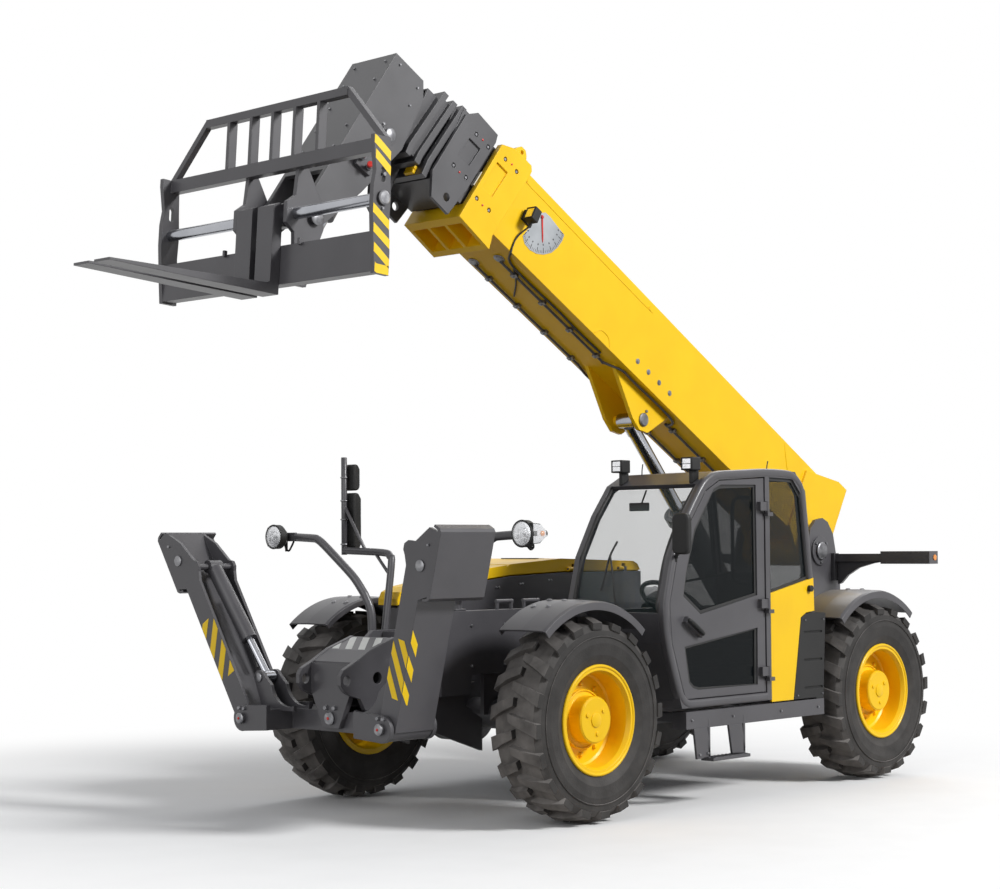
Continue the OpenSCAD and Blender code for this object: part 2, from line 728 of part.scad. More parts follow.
module headlamps() {
  color(c_black) for (s = [-1, 1]) {
    xrod(s * 1110, 1752, 80, 2150, 2195);
    translate([2105, s * 1110, 1752]) rotate([0, 90, 0]) cylinder(r1 = 45, r2 = 80, h = 46);
    slab(s > 0 ? 1118 : -1186, 68) union() {
      polygon([[2070, 1769], [2070, 1735], [2120, 1695], [2185, 1690], [2185, 1814], [2120, 1809]]);
      translate([2072, 1752]) circle(r = 20);
    }
  }
}

// Work lights on the roof corners and the door side mirror, all on the cab.
function roof_line(x) = 2076 + (496 - x) * (roof_z - 2105) / 164;

module cab_lights() {
  color(c_black) {
    for (y = [cab_in + 70, cab_out - 150]) {
      slab(y + 30, 30) polygon([[490, roof_line(490)], [420, roof_line(420)], [420, roof_z - 10], [490,
        roof_z - 10]]);
      box([440, y, roof_z - 18], [530, y + 90, roof_z + 67]);
    }
    box([785, cab_out, 1572], [803, cab_out + 12, 1628]);
    bar([798, cab_out + 10, 1603], [845, cab_out + 70, 1650], 12);
    box([825, cab_out + 30, 1620], [870, cab_out + 160, 1880]);
  }
}

// Work light on the left flank of the boom.
module boom_lamp() {
  color(c_black) along_boom() translate([reach, 0, 0]) {
    box([3790, boom_w / 2, 290], [3890, boom_w / 2 + 12, 366]);
    box([3830, boom_w / 2 + 11, 310], [3850, boom_w / 2 + 50, 346]);
    box([3835, boom_w / 2 + 30, 282], [3895, boom_w / 2 + 110, 372]);
  }
}

module rear_lamps() {
  color(c_dark) for (s = [-1, 1]) {
    slab(s > 0 ? frame_half : -frame_half - 30, 30)
      polygon([[-2300, 1400], [-2250, 1610], [-2190, 1610], [-2190, 1400]]);
    box([-2290, s > 0 ? frame_half + 30 : -790, 1545], [-2200, s > 0 ? 790 : -frame_half - 30, 1605]);
    box([-2310, s > 0 ? 780 : -1200, 1528], [-2190, s > 0 ? 1200 : -780, 1623]);
  }
}

module door_frame() {
  color(c_dark) {
    slab(cab_out - 45, 40) difference() {
      polygon(door_outer);
      polygon(door_high);
      polygon(door_low);
    }
    for (z = hinge_z) {
      difference() {
        union() {
          translate([hinge_x, cab_out + 20, z]) cylinder(r = 14, h = 70);
          box([hinge_x, cab_out + 6, z + 5], [-100, cab_out + 26, z + 65]);
          box([-170, cab_out - 6, z + 5], [-100, cab_out + 7, z + 65]);
        }
        translate([hinge_x, cab_out + 20, z - 1]) cylinder(r = 8 + run, h = 80);
      }
    }
    slab(cab_out - 6, 36) polygon([[700, 1225], [725, 1190], [560, 1085], [535, 1120]]);
  }
}

module door_glass() {
  color(c_glass) slab(cab_out - 29, 8) {
    polygon(door_high);
    polygon(door_low);
  }
}

// Collar cut on a slant: an outline drawn across the boom less the section's own outline.
module slant_collar(half, w, h) {
  difference() {
    slab(-half, 2 * half) children();
    box([3900, -w / 2 + 1, tube_mid - h / 2 + 1], [5100, w / 2 - 1, tube_mid + h / 2 - 1]);
  }
}

module boom_base() {
  color(c_yellow) along_boom() {
    difference() {
      union() {
        tube(-200, boom_len - 200, boom_w, boom_h, boom_t);
        pads(boom_len - 340, boom_len - 210, w2, h2);
        translate([reach, 0, 0]) slant_collar(boom_w / 2 + 40, boom_w, boom_h)
          polygon([[4305, 578], [4190, 632], [4010, 632], [3988, 600], [3990, 560], [4088, 5], [4070, -92],
            [4398, -70]]);
        for (s = [-1, 1]) {
          translate([reach, 0, 0]) slab(s > 0 ? boom_w / 2 + 5 : -boom_w / 2 - 35, 30)
            polygon([[4050, tube_v + boom_h], [4075, tube_v + boom_h + 60], [4100, tube_v + boom_h + 88],
              [4144, tube_v + boom_h + 88], [4172, tube_v + boom_h + 60], [4205, tube_v + boom_h]]);
        }
        // rear cheeks down to the pivot
        for (s = [-1, 1]) {
          slab(s > 0 ? boom_w / 2 - boom_t : -boom_w / 2 - 20, boom_t + 20)
            polygon([[-245, 60], [-245, 690], [-120, 690], [300, 540], [300, 60], [130, -60], [60,
              -115], [-60, -115],
              [-120, -60]]);
        }
        box([-245, -boom_w / 2 - 1, 560], [-215, boom_w / 2 + 1, 690]);
        yrod(0, 0, 115, -frame_half + frame_t + 8, frame_half - frame_t - 8);
        // lift bracket
        for (s = [-1, 1]) {
          slab(s > 0 ? 105 : -135, 30)
            polygon([[1850, tube_v + 5], [2560, tube_v + 5], [2200, -175], [2090, -210], [2000, -180]]);
        }
      }
      yrod(0, 0, boom_pin_r + run, -frame_half, frame_half);
      yrod(4122 + reach, tube_v + boom_h + 55, eye_r, -300, 300);
      // pad windows and pad screw seats in the flanks, pockets in the underside
      translate([reach, 0, 0]) for (s = [-1, 1]) {
        slab(s > 0 ? boom_w / 2 + 28 : -boom_w / 2 - 48, 20)
          polygon([[4172, 450], [4285, 450], [4326, 220], [4213, 220]]);
        for (a = [[4232, 513], [4106, 508], [4324, 126], [4195, 128]]) {
          yrod(a[0], a[1], 17, s > 0 ? boom_w / 2 + 25 : -boom_w / 2 - 41,
            s > 0 ? boom_w / 2 + 41 : -boom_w / 2 - 25);
        }
      }
      for (y = [-220, -65, 90]) {
        box([4120 + reach, y, tube_v - 170], [4335 + reach, y + 130, tube_v - 30]);
      }
    }
    for (s = [-1, 1]) {
      yrod(lift_u, lift_v, 40, s > 0 ? 80 : -110, s > 0 ? 110 : -80);
    }
  }
}

module boom_second() {
  color(c_dark) along_boom() {
    difference() {
      union() {
        tube(150, boom_len + 370, w2, h2, boom_t);
        pads(boom_len + 230, boom_len + 360, w3, h3);
        collar(boom_len + 59, boom_len + 330, boom_w / 2 + 11, tube_v - 20, tube_v + boom_h - 20, w2, h2);
        translate([reach, 0, 0]) slant_collar(boom_w / 2 + 5, w2, h2)
          polygon([[4652, 592], [4697, 592], [4775, 100], [4775, -15], [4732, -15], [4732, 100]]);
        for (s = [-1, 1]) {
          translate([reach, 0, 0]) slab(s > 0 ? boom_w / 2 + 10 : -boom_w / 2 - 32, 22)
            polygon([[4362, 612], [4578, 622], [4660, 545], [4706, 204], [4728, 44], [4655, -108],
              [4480, -115], [4448, 19], [4420, 118], [4352, 556]]);
        }
      }
      translate([reach, 0, 0]) for (s = [-1, 1]) {
        slab(s > 0 ? boom_w / 2 + 20 : -boom_w / 2 - 40, 20)
          polygon([[4448, 430], [4562, 430], [4592, 270], [4478, 270]]);
        for (a = [[4523, 489], [4396, 486], [4593, 186], [4464, 187]]) {
          yrod(a[0], a[1], 17, s > 0 ? boom_w / 2 + 20 : -boom_w / 2 - 33,
            s > 0 ? boom_w / 2 + 33 : -boom_w / 2 - 20);
        }
        yrod(4545, -30, 28, s > 0 ? boom_w / 2 : -boom_w / 2 - 33, s > 0 ? boom_w / 2 + 33 : -boom_w / 2);
      }
    }
  }
}

module boom_third() {
  color(c_dark) along_boom() {
    tube(300, boom_len + 600, w3, h3, boom_t);
    pads(boom_len + 460, boom_len + 590, w4, h4);
    translate([reach, 0, 0]) {
      for (a = [0, 90]) {
        translate([a, 0, 0]) slant_collar(boom_w / 2 - 12, w3, h3)
          polygon([[4722, 580], [4767, 580], [4852, 100], [4852, 30], [4807, 30], [4807, 100]]);
      }
      slant_collar(boom_w / 2 - 40, w3, h3) polygon([[4762, 555], [4820, 555], [4904, 65], [4846, 65]]);
    }
    // hose lug under the collar
    translate([reach, 0, 0]) difference() {
      slab(-15, 30) polygon([[4802, tube_v], [4950, tube_v], [4960, -180], [4890, -330], [4800, -370],
        [4785, -335]]);
      yrod(4846, -272, 40, -20, 20);
    }
  }
}

module head_side() {
  polygon([[4975, 400], [5040, 515], [5310, 515], [5420, -470], [5450, -740], [5445, -850], [5377,
    -905], [5305, -865],
    [5275, -780], [5120, -420], [4975, 20]]);
}

module boom_head() {
  color(c_dark) along_boom() {
    difference() {
      union() {
        tube(450, 5060 + reach, w4, h4, boom_t);
        translate([reach, 0, 0]) {
          for (s = [170, -200]) {
            slab(s, 30) head_side();
          }
          // top and front cover
          box([5030, -171, 485], [5310, 171, 514]);
          slab(-171, 342) polygon([[5310, 514], [5280, 514], [5390, -470], [5420, -470]]);
          box([4975, -171, 140], [4999, 171, 440]);
          // pin bosses
          for (s = [-1, 1]) {
            yrod(5116, tilt_v, 62, s > 0 ? 199 : -212, s > 0 ? 212 : -199);
          }
        }
      }
      box([4900 + reach, -w4 / 2 + boom_t, tube_mid - h4 / 2 + boom_t],
        [5061 + reach, w4 / 2 - boom_t, tube_mid + h4 / 2 - boom_t]);
    }
    // carriage pin and tilt cylinder pin
    yrod(head_u, head_v, 35, -262, 262);
    yrod(tilt_u, tilt_v, 30, -222, 222);
  }
}

module carriage() {
  color(c_dark) at_carriage() {
    difference() {
      // ears on the pivot
      for (s = [212, -242]) {
        slab(s, 30) polygon([[-70, 70], [90, 330], [130, 330], [150, 110], [215, 60], [215, -60], [150,
          -110],
          [130, -420], [40, -420], [-20, -200], [-75, -60]]);
      }
      yrod(0, 0, 35 + run, -300, 300);
    }
    // tilt cylinder clevis
    for (s = [-1, 1]) {
      slab(s > 0 ? 75 : -95, 20) polygon([[-110, -310], [-90, -260], [110, -180], [110, -420], [-60,
        -370]]);
      yrod(eye_x, eye_z, 22, s > 0 ? 58 : -80, s > 0 ? 80 : -58);
    }
    // beams
    box([100, -carriage_half, -420], [180, carriage_half, -190]);
    box([100, -carriage_half, 270], [160, carriage_half, 350]);
    box([100, -640, 640], [150, 640, 690]);
    for (y = [-420, -210, -12, 186, 396]) {
      box([105, y, 349], [130, y + 24, 641]);
    }
    // side plates with the fork bar's lock slot, and sloped corner braces
    for (s = [-1, 1]) {
      difference() {
        slab(s > 0 ? carriage_half - 30 : -carriage_half, 30) polygon([[70, -430], [180, -430], [196,
          -280], [214, -70],
          [214, 60], [200, 150], [224, 300], [224, 349], [98, 349], [88, 140], [78, 0], [84, -140], [70,
          -300]]);
        for (z = [108, 158]) {
          yrod(145, z, 18, s > 0 ? carriage_half - 60 : -carriage_half - 60,
            s > 0 ? carriage_half + 60 : -carriage_half + 60);
        }
        box([127, s * carriage_half - 60, 108], [163, s * carriage_half + 60, 158]);
      }
      translate([125, s * (carriage_half - 15), 340]) rotate([s * 44, 0, 0]) box([-20, -18, 0], [20, 18,
        475]);
    }
    // round fork bar
    yrod(bar_x, 0, fork_bar_r, -carriage_half - 10, carriage_half + 10);
  }
}

module forks() {
  color(c_dark) at_carriage() for (s = [-1, 1]) {
    difference() {
      union() {
        slab(s * fork_y - fork_w / 2, fork_w) polygon([[182, 40], [200, 64], [252, 40], [252, -410],
          [272, -420],
          [fork_tip, -462], [fork_tip, -476], [700, -480], [182, -480]]);
        yrod(bar_x, 0, 72, s * fork_y - fork_w / 2, s * fork_y + fork_w / 2);
      }
      yrod(bar_x, 0, fork_bar_r + 0.3, -500, 500);
    }
  }
}

module at_lift() {
  translate([base_x, 0, base_z]) rotate([0, -lift_ang, 0]) children();
}

module lift_barrel() {
  color(c_dark) at_lift() difference() {
    union() {
      yrod(0, 0, 85, -95, 95);
      translate([40, 0, 0]) rotate([0, 90, 0]) cylinder(r = lift_r, h = 1250);
      translate([1240, 0, 0]) rotate([0, 90, 0]) cylinder(r = lift_r + 12, h = 70);
    }
    yrod(0, 0, 45 + run, -150, 150);
    translate([130, 0, 0]) rotate([0, 90, 0]) cylinder(r = lift_rod_r + run, h = 1300);
  }
}

module lift_rod() {
  color(c_steel) at_lift() {
    translate([600, 0, 0]) rotate([0, 90, 0]) cylinder(r = lift_rod_r, h = lift_len - 645);
    difference() {
      union() {
        yrod(lift_len, 0, 54, -70, 70);
        translate([lift_len - 110, 0, 0]) rotate([0, 90, 0]) cylinder(r = lift_rod_r + 6, h = 70);
      }
      yrod(lift_len, 0, 41, -71, 71);
    }
  }
}

module at_tilt() {
  translate([tilt_px, 0, tilt_pz]) rotate([0, -tilt_ang, 0]) children();
}

module tilt_barrel() {
  color(c_dark) at_tilt() difference() {
    union() {
      yrod(0, 0, 58, -60, 60);
      translate([30, 0, 0]) rotate([0, 90, 0]) cylinder(r = 62, h = 590);
    }
    yrod(0, 0, 30 + run, -70, 70);
    translate([75, 0, 0]) rotate([0, 90, 0]) cylinder(r = 34 + run, h = 600);
  }
}

module tilt_rod() {
  color(c_steel) at_tilt() {
    translate([440, 0, 0]) rotate([0, 90, 0]) cylinder(r = 34, h = tilt_len - 475);
    difference() {
      yrod(tilt_len, 0, 45, -48, 48);
      yrod(tilt_len, 0, 24, -49, 49);
    }
  }
}

// Outrigger coordinates for the left side: z up the arm, y outward.
module at_leg(side) {
  if (side > 0) {
    translate([0, leg_y, leg_z]) rotate([-lean_left, 0, 0]) children();
  } else {
    translate([0, -leg_y, leg_z]) rotate([lean_right, 0, 0]) mirror([0, 1, 0]) children();
  }
}

module leg(f) {
  difference() {
    union() {
      xrod(0, 0, 75, leg_x - leg_d, leg_x);
      box([leg_x - leg_d, 60, 0], [leg_x, 85, f + 380]);
      // front and back plate with the jack eye and the foot's gusset in one outline
      for (x = [leg_x - leg_d, leg_x - 22]) {
        translate([x, 0, 0]) rotate([90, 0, 90]) linear_extrude(22)
          polygon([[-55, 0], [61, 0], [61, f - 40], [151, f + 10], [151, f + 390], [80, f + 400],
            [-12, max(1112, f + 260)], [-70, 1104], [-98, 1078], [-98, 1042], [-80, 1016], [-55, 960]]);
      }
      // foot with bent edges
      translate([leg_x - 450, 0, 0]) rotate([90, 0, 90]) linear_extrude(450)
        polygon([[120, f - 12], [150, f], [150, f + 398], [112, f + 410], [116, f + 424], [160,
          f + 412], [175, f + 395],
          [175, f + 5], [160, f - 14], [124, f - 26]]);
      box([leg_x - leg_d, 60, f + 160], [leg_x, 151, f + 180]);
    }
    xrod(0, 0, 30 + run, leg_x - leg_d - 1, leg_x + 1);
  }
  xrod(cyl_t, cyl_s, 20, leg_x - leg_d + 1, leg_x - 1);
}

module outrigger_left() { color(c_dark) at_leg(1) leg(foot_left); }
module outrigger_right() { color(c_dark) at_leg(-1) leg(foot_right); }

// Jack line of one side, from the arm eye to the beam eye, built without mirroring.
module at_jack(side, lean) {
  dy = (jack_y - leg_y) * cos(lean) - (jack_z - leg_z) * sin(lean);
  dz = (jack_y - leg_y) * sin(lean) + (jack_z - leg_z) * cos(lean);
  a = atan2(dy - cyl_t, dz - cyl_s);
  translate([leg_mid, side * leg_y, leg_z]) rotate([-side * lean, 0, 0])
    translate([0, side * cyl_t, cyl_s]) rotate([-side * a, 0, 0]) children();
}

function jack_len(lean) = norm([(jack_y - leg_y) * cos(lean) - (jack_z - leg_z) * sin(lean) - cyl_t,
  (jack_y - leg_y) * sin(lean) + (jack_z - leg_z) * cos(lean) - cyl_s]);

module jack_barrel(side, lean) {
  at_jack(side, lean) difference() {
    union() {
      xrod(0, 0, 42, -50, 50);
      translate([0, 0, 20]) cylinder(r = 50, h = 560);
    }
    xrod(0, 0, 20 + run, -60, 60);
    translate([0, 0, 60]) cylinder(r = 26 + run, h = 600);
  }
}

module jack_rod(side, lean) {
  at_jack(side, lean) {
    translate([0, 0, 140]) cylinder(r = 26, h = jack_len(lean) - 166);
    translate([0, 0, jack_len(lean)]) difference() {
      xrod(0, 0, 36, -38, 38);
      xrod(0, 0, 21, -39, 39);
    }
  }
}

module jack_barrel_left() { color(c_dark) jack_barrel(1, lean_left); }
module jack_barrel_right() { color(c_dark) jack_barrel(-1, lean_right); }
module jack_rod_left() { color(c_steel) jack_rod(1, lean_left); }
module jack_rod_right() { color(c_steel) jack_rod(-1, lean_right); }

place() frame();
place() nose();
place() stabilizer_beam();
place() front_axle();
place() rear_axle();
place() engine_block();
place() engine_bay();
place() cab_frame();
place() cab_glass();
place() seat();
place() cab_controls();
place() side_panel();
place() tank_cover();
place() sill_step();
place() front_box();
place() lamp_guards();
place() headlamps();
place() cab_lights();
place() boom_lamp();
place() rear_lamps();
place() door_frame();
place() door_glass();
place() hood();
place() knuckle_fl();
place() knuckle_fr();
place() knuckle_rl();
place() knuckle_rr();
place() tyre_fl();
place() tyre_fr();
place() tyre_rl();
place() tyre_rr();
place() rim_fl();
place() rim_fr();
place() rim_rl();
place() rim_rr();
place() boom_base();
place() boom_second();
place() boom_third();
place() boom_head();
place() carriage();
place() forks();
place() lift_barrel();
place() lift_rod();
place() tilt_barrel();
place() tilt_rod();
place() outrigger_left();
place() outrigger_right();
place() jack_barrel_left();
place() jack_barrel_right();
place() jack_rod_left();
place() jack_rod_right();
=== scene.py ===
import json
import math

import bmesh
import bpy
from mathutils import Matrix, Vector


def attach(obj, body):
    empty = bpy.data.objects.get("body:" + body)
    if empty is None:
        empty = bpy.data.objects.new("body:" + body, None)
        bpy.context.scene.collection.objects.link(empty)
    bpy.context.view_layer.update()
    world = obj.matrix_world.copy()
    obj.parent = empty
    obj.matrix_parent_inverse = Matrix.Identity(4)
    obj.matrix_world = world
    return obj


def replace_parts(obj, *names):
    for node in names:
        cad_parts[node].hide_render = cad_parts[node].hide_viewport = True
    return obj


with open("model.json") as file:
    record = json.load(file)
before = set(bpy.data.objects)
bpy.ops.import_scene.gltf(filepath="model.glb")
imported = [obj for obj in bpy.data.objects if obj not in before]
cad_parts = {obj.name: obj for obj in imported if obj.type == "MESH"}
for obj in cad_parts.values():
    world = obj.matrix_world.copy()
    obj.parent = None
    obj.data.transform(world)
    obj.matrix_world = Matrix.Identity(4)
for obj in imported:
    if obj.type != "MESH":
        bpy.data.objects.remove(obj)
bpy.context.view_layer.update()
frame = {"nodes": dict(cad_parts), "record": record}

scene = bpy.context.scene
pivot = next(j for j in frame["record"]["behaviour"]["joints"] if j["name"] == "boom_lift")["pos_m"]

# Places: millimetres on the vehicle, the boom, the carriage or an outrigger, turned into metres of the frame
PIVOT_X, PIVOT_Z, BOOM_ANGLE = -2030.0, 1630.0, math.radians(30)
CAR_X, CAR_Z, CAR_ANGLE = 3031.6186, 3617.0194, math.radians(4)
ARM_Y, ARM_Z = 620, 630
LEAN = {1: math.radians(14), -1: math.radians(32)}
OX, OY = pivot[0] - PIVOT_X / 1000, pivot[1]


def veh(x, y, z):
    return Vector((x / 1000 + OX, y / 1000 + OY, z / 1000))


def turned(x0, z0, angle):
    """Places in axes turned by angle in the x-z plane, with their origin at (x0, z0)."""
    c, s = math.cos(angle), math.sin(angle)
    return lambda x, y, z: veh(x0 + x * c - z * s, y, z0 + x * s + z * c)


def arm(side):
    """Places on an outrigger: y across the arm, z along it from its pin, and the vehicle's x."""
    c, s = math.cos(LEAN[side]), math.sin(LEAN[side])
    return lambda y, z, x: veh(x, side * (ARM_Y + y * c + z * s), ARM_Z - y * s + z * c)


def across(y, x, z):
    """Places for an outline in the y-z plane."""
    return veh(x, y, z)


boom = turned(PIVOT_X, PIVOT_Z, BOOM_ANGLE)
car = turned(CAR_X, CAR_Z, CAR_ANGLE)
X, Y, UP = Vector((1, 0, 0)), Vector((0, 1, 0)), Vector((0, 0, 1))
SIDES = (-1, 1)


# Shader nodes
def feed(tree, node, inputs):
    """Sets a node's inputs, each to a value or to the output of another node."""
    for key, value in inputs.items():
        if isinstance(value, bpy.types.NodeSocket):
            tree.links.new(value, node.inputs[key])
        else:
            node.inputs[key].default_value = value
    return node


def add(tree, kind, inputs=None, **settings):
    node = tree.nodes.new("ShaderNode" + kind)
    for key, value in settings.items():
        setattr(node, key, value)
    return feed(tree, node, inputs or {})


def noise(tree, scale, detail=2):
    place = add(tree, "TexCoord").outputs["Object"]
    return add(tree, "TexNoise", {"Vector": place, "Scale": scale, "Detail": detail}).outputs["Fac"]


def blend(tree, factor, first, second):
    """A colour between two others."""
    return add(tree, "Mix", {0: factor, 6: first, 7: second}, data_type="RGBA").outputs[2]


def spread(tree, value, **limits):
    """A value mapped from one range to another, with limits such as from_min and to_max."""
    named = {key.replace("_", " ").title(): limit for key, limit in limits.items()}
    return add(tree, "MapRange", {"Value": value, **named}).outputs["Result"]


def calc(tree, operation, *values):
    return add(tree, "Math", dict(enumerate(values)), operation=operation).outputs[0]


def new_material(name):
    material = bpy.data.materials.new(name)
    material.use_nodes = True
    tree = material.node_tree
    return material, tree, tree.nodes["Principled BSDF"]


def surface(name, dark, light, rough, metal=0.0, coat=0.0, scale=3.0, grain=0.0, grain_scale=60.0, edge=0.0,
            dust=None, dust_top=0.0, shine=0.5):
    """Paint, rubber, plastic or metal: two tones by noise and uneven gloss. Grain, rounded edges and dust are
    options; dust thins out towards the height dust_top and on faces that look sideways."""
    material, tree, main = new_material(name)
    cloud = noise(tree, scale, 6)
    colour = blend(tree, spread(tree, cloud, from_min=0.35, from_max=0.65), (*dark, 1), (*light, 1))
    if dust:
        seen = add(tree, "NewGeometry").outputs
        height = add(tree, "SeparateXYZ", {0: seen["Position"]}).outputs["Z"]
        low = spread(tree, height, from_min=dust_top, from_max=0.0, to_max=1.25)
        turn = add(tree, "SeparateXYZ", {0: seen["Normal"]}).outputs["Y"]
        tread = spread(tree, calc(tree, "ABSOLUTE", turn), from_min=0.95, from_max=0.45, to_min=0.2)
        patchy = calc(tree, "MULTIPLY", low, noise(tree, 9, 8))
        colour = blend(tree, calc(tree, "MULTIPLY", patchy, tread), colour, (*dust, 1))
    gloss = spread(tree, cloud, to_min=max(0.02, rough - 0.07), to_max=rough + 0.09)
    feed(tree, main, {"Base Color": colour, "Roughness": gloss, "Metallic": metal, "Specular IOR Level": shine,
                      "Coat Weight": coat, "Coat Roughness": 0.12})
    normal = None
    if edge:
        normal = add(tree, "Bevel", {"Radius": edge}, samples=4).outputs["Normal"]
    if grain:
        bump = add(tree, "Bump", {"Strength": grain, "Distance": 0.004, "Height": noise(tree, grain_scale, 4)})
        if normal:
            feed(tree, bump, {"Normal": normal})
        normal = bump.outputs["Normal"]
    if normal:
        feed(tree, main, {"Normal": normal})
    return material


def grey(tone):
    return tone, tone, tone


def glass(name, tint, alpha, shine=0.8):
    material, tree, main = new_material(name)
    bright = [min(1, c * 1.25) for c in tint]
    colour = blend(tree, noise(tree, 1.5), (*tint, 1), (*bright, 1))
    feed(tree, main, {"Base Color": colour, "Roughness": 0.03, "Alpha": alpha, "Specular IOR Level": shine})
    return material


# Materials of the CAD nodes
YELLOW = surface("yellow_paint", (0.91, 0.555, 0.004), (0.95, 0.595, 0.005), rough=0.36, coat=0.05, edge=0.006,
                 shine=0.3)
CHARCOAL = surface("charcoal_paint", (0.056, 0.054, 0.060), (0.070, 0.068, 0.075), rough=0.40, coat=0.12, edge=0.006,
                   grain=0.05)
GREY = surface("boom_grey", (0.064, 0.063, 0.068), (0.080, 0.079, 0.085), rough=0.38, coat=0.12, edge=0.006,
               grain=0.05)
RUBBER = surface("tyre_rubber", (0.007, 0.0067, 0.0065), (0.012, 0.0115, 0.0115), rough=0.62, scale=5, grain=0.35,
                 grain_scale=90, edge=0.006, dust=(0.32, 0.30, 0.285), dust_top=2.2, shine=0.25)
CHROME = surface("rod_chrome", (0.36, 0.37, 0.40), (0.44, 0.45, 0.48), rough=0.2, metal=1.0)
PLASTIC = surface("black_plastic", grey(0.009), grey(0.015), rough=0.5, shine=0.3, grain=0.1,
                  grain_scale=220, edge=0.012)
SEAT = surface("seat_cover", (0.018, 0.018, 0.02), (0.035, 0.035, 0.038), rough=0.85, scale=25, grain=0.4,
               grain_scale=300)
IRON = surface("engine_casting", (0.05, 0.05, 0.055), (0.08, 0.08, 0.085), rough=0.6, grain=0.4, edge=0.008)
GLASS = glass("cab_glazing", (0.05, 0.09, 0.09), 0.14)
# Door panes: dark, nearly opaque glass, painted shade that stands in for the dark cab inside seen through them
DOOR_GLASS_PAINTED_SHADE = glass("door_glazing_painted_shade", (0.004, 0.006, 0.007), 0.74, 0.1)

by_slot = {"yellow_paint": YELLOW, "charcoal_paint": CHARCOAL, "boom_grey": GREY, "tyre_rubber": RUBBER,
           "rod_chrome": CHROME, "cab_glazing": GLASS, "black_plastic": PLASTIC, "seat_cover": SEAT,
           "engine_casting": IRON}
for sub in frame["record"]["subparts"]:
    ob = frame["nodes"][sub["node"]]
    ob.data.materials.clear()
    # the door's panes take the dark glass of painted shade
    ob.data.materials.append(DOOR_GLASS_PAINTED_SHADE if sub["node"] == "door_glass" else by_slot[sub["material_slot"]])

# Materials of the added pieces
STEEL = surface("zinc_steel", (0.16, 0.16, 0.17), (0.27, 0.27, 0.28), rough=0.38, metal=1.0, scale=30)
HOSE = surface("hose_rubber", grey(0.010), grey(0.020), rough=0.5, scale=20, grain=0.2, grain_scale=400)
SEAL = surface("window_seal", grey(0.008), grey(0.014), rough=0.6, scale=12)
RED = surface("red_cap", (0.55, 0.015, 0.012), (0.68, 0.03, 0.02), rough=0.35, scale=20)
NYLON = surface("nylon_pad", (0.72, 0.70, 0.62), (0.82, 0.80, 0.72), rough=0.5, scale=15)
SILVER = surface("dial_plate", (0.34, 0.36, 0.38), (0.44, 0.46, 0.48), rough=0.32, metal=0.7, scale=4)
INK = surface("dial_ink", grey(0.012), grey(0.022), rough=0.6)
MIRROR = surface("mirror_glass", (0.62, 0.66, 0.70), (0.72, 0.75, 0.78), rough=0.06, metal=1.0)
REFLECTOR = surface("reflector", (0.74, 0.75, 0.77), (0.90, 0.90, 0.92), rough=0.12, metal=1.0, scale=60, grain=0.5,
                    grain_scale=160)
AMBER = surface("amber_lens", (0.75, 0.22, 0.008), (0.85, 0.30, 0.02), rough=0.15, coat=0.6, scale=40)
TAIL = surface("red_lens", (0.45, 0.008, 0.008), (0.60, 0.02, 0.015), rough=0.15, coat=0.6, scale=40)
# Quarter pane: a dark, half-opaque sheet of painted shade for the dark cab inside behind the rear side window
QUARTER_GLASS_PAINTED_SHADE = glass("quarter_glass_painted_shade", (0.006, 0.009, 0.010), 0.55, 0.2)
CLEAR = glass("lamp_glass", (0.85, 0.88, 0.90), 0.25)
FILM = surface("pale_film", (0.52, 0.53, 0.51), (0.58, 0.59, 0.57), rough=0.35, scale=8)
SIGN = surface("stripe_yellow", (0.97, 0.64, 0.004), (1.0, 0.68, 0.005), rough=0.4, scale=8)


# Mesh tools
def spoke(angle):
    """The direction at an angle in the x-z plane."""
    return Vector((math.cos(angle), 0, math.sin(angle)))


def square_to(axis):
    """The axis at unit length and two directions square to it."""
    axis = Vector(axis).normalized()
    side = axis.orthogonal().normalized()
    return axis, side, axis.cross(side)


def circle(centre, side, other, r, n):
    turns = (2 * math.pi * i / n for i in range(n))
    return [centre + (side * math.cos(t) + other * math.sin(t)) * r for t in turns]


def curve(points, steps):
    """A smooth line through points, with a number of steps from each to the next."""
    pts = [Vector(p) for p in points]
    ext = [pts[0] * 2 - pts[1], *pts, pts[-1] * 2 - pts[-2]]
    line = []
    for a, b, c, e in zip(ext, ext[1:], ext[2:], ext[3:]):
        for k in range(steps):
            t = k / steps
            line.append(0.5 * (2 * b + (c - a) * t + (2 * a - 5 * b + 4 * c - e) * t * t
                               + (3 * b - a - 3 * c + e) * t ** 3))
    return line + [pts[-1]]


def tangent(line, i):
    return (line[min(i + 1, len(line) - 1)] - line[max(i - 1, 0)]).normalized()


def placed(name, data):
    """A new object in the scene."""
    ob = bpy.data.objects.new(name, data)
    scene.collection.objects.link(ob)
    return ob


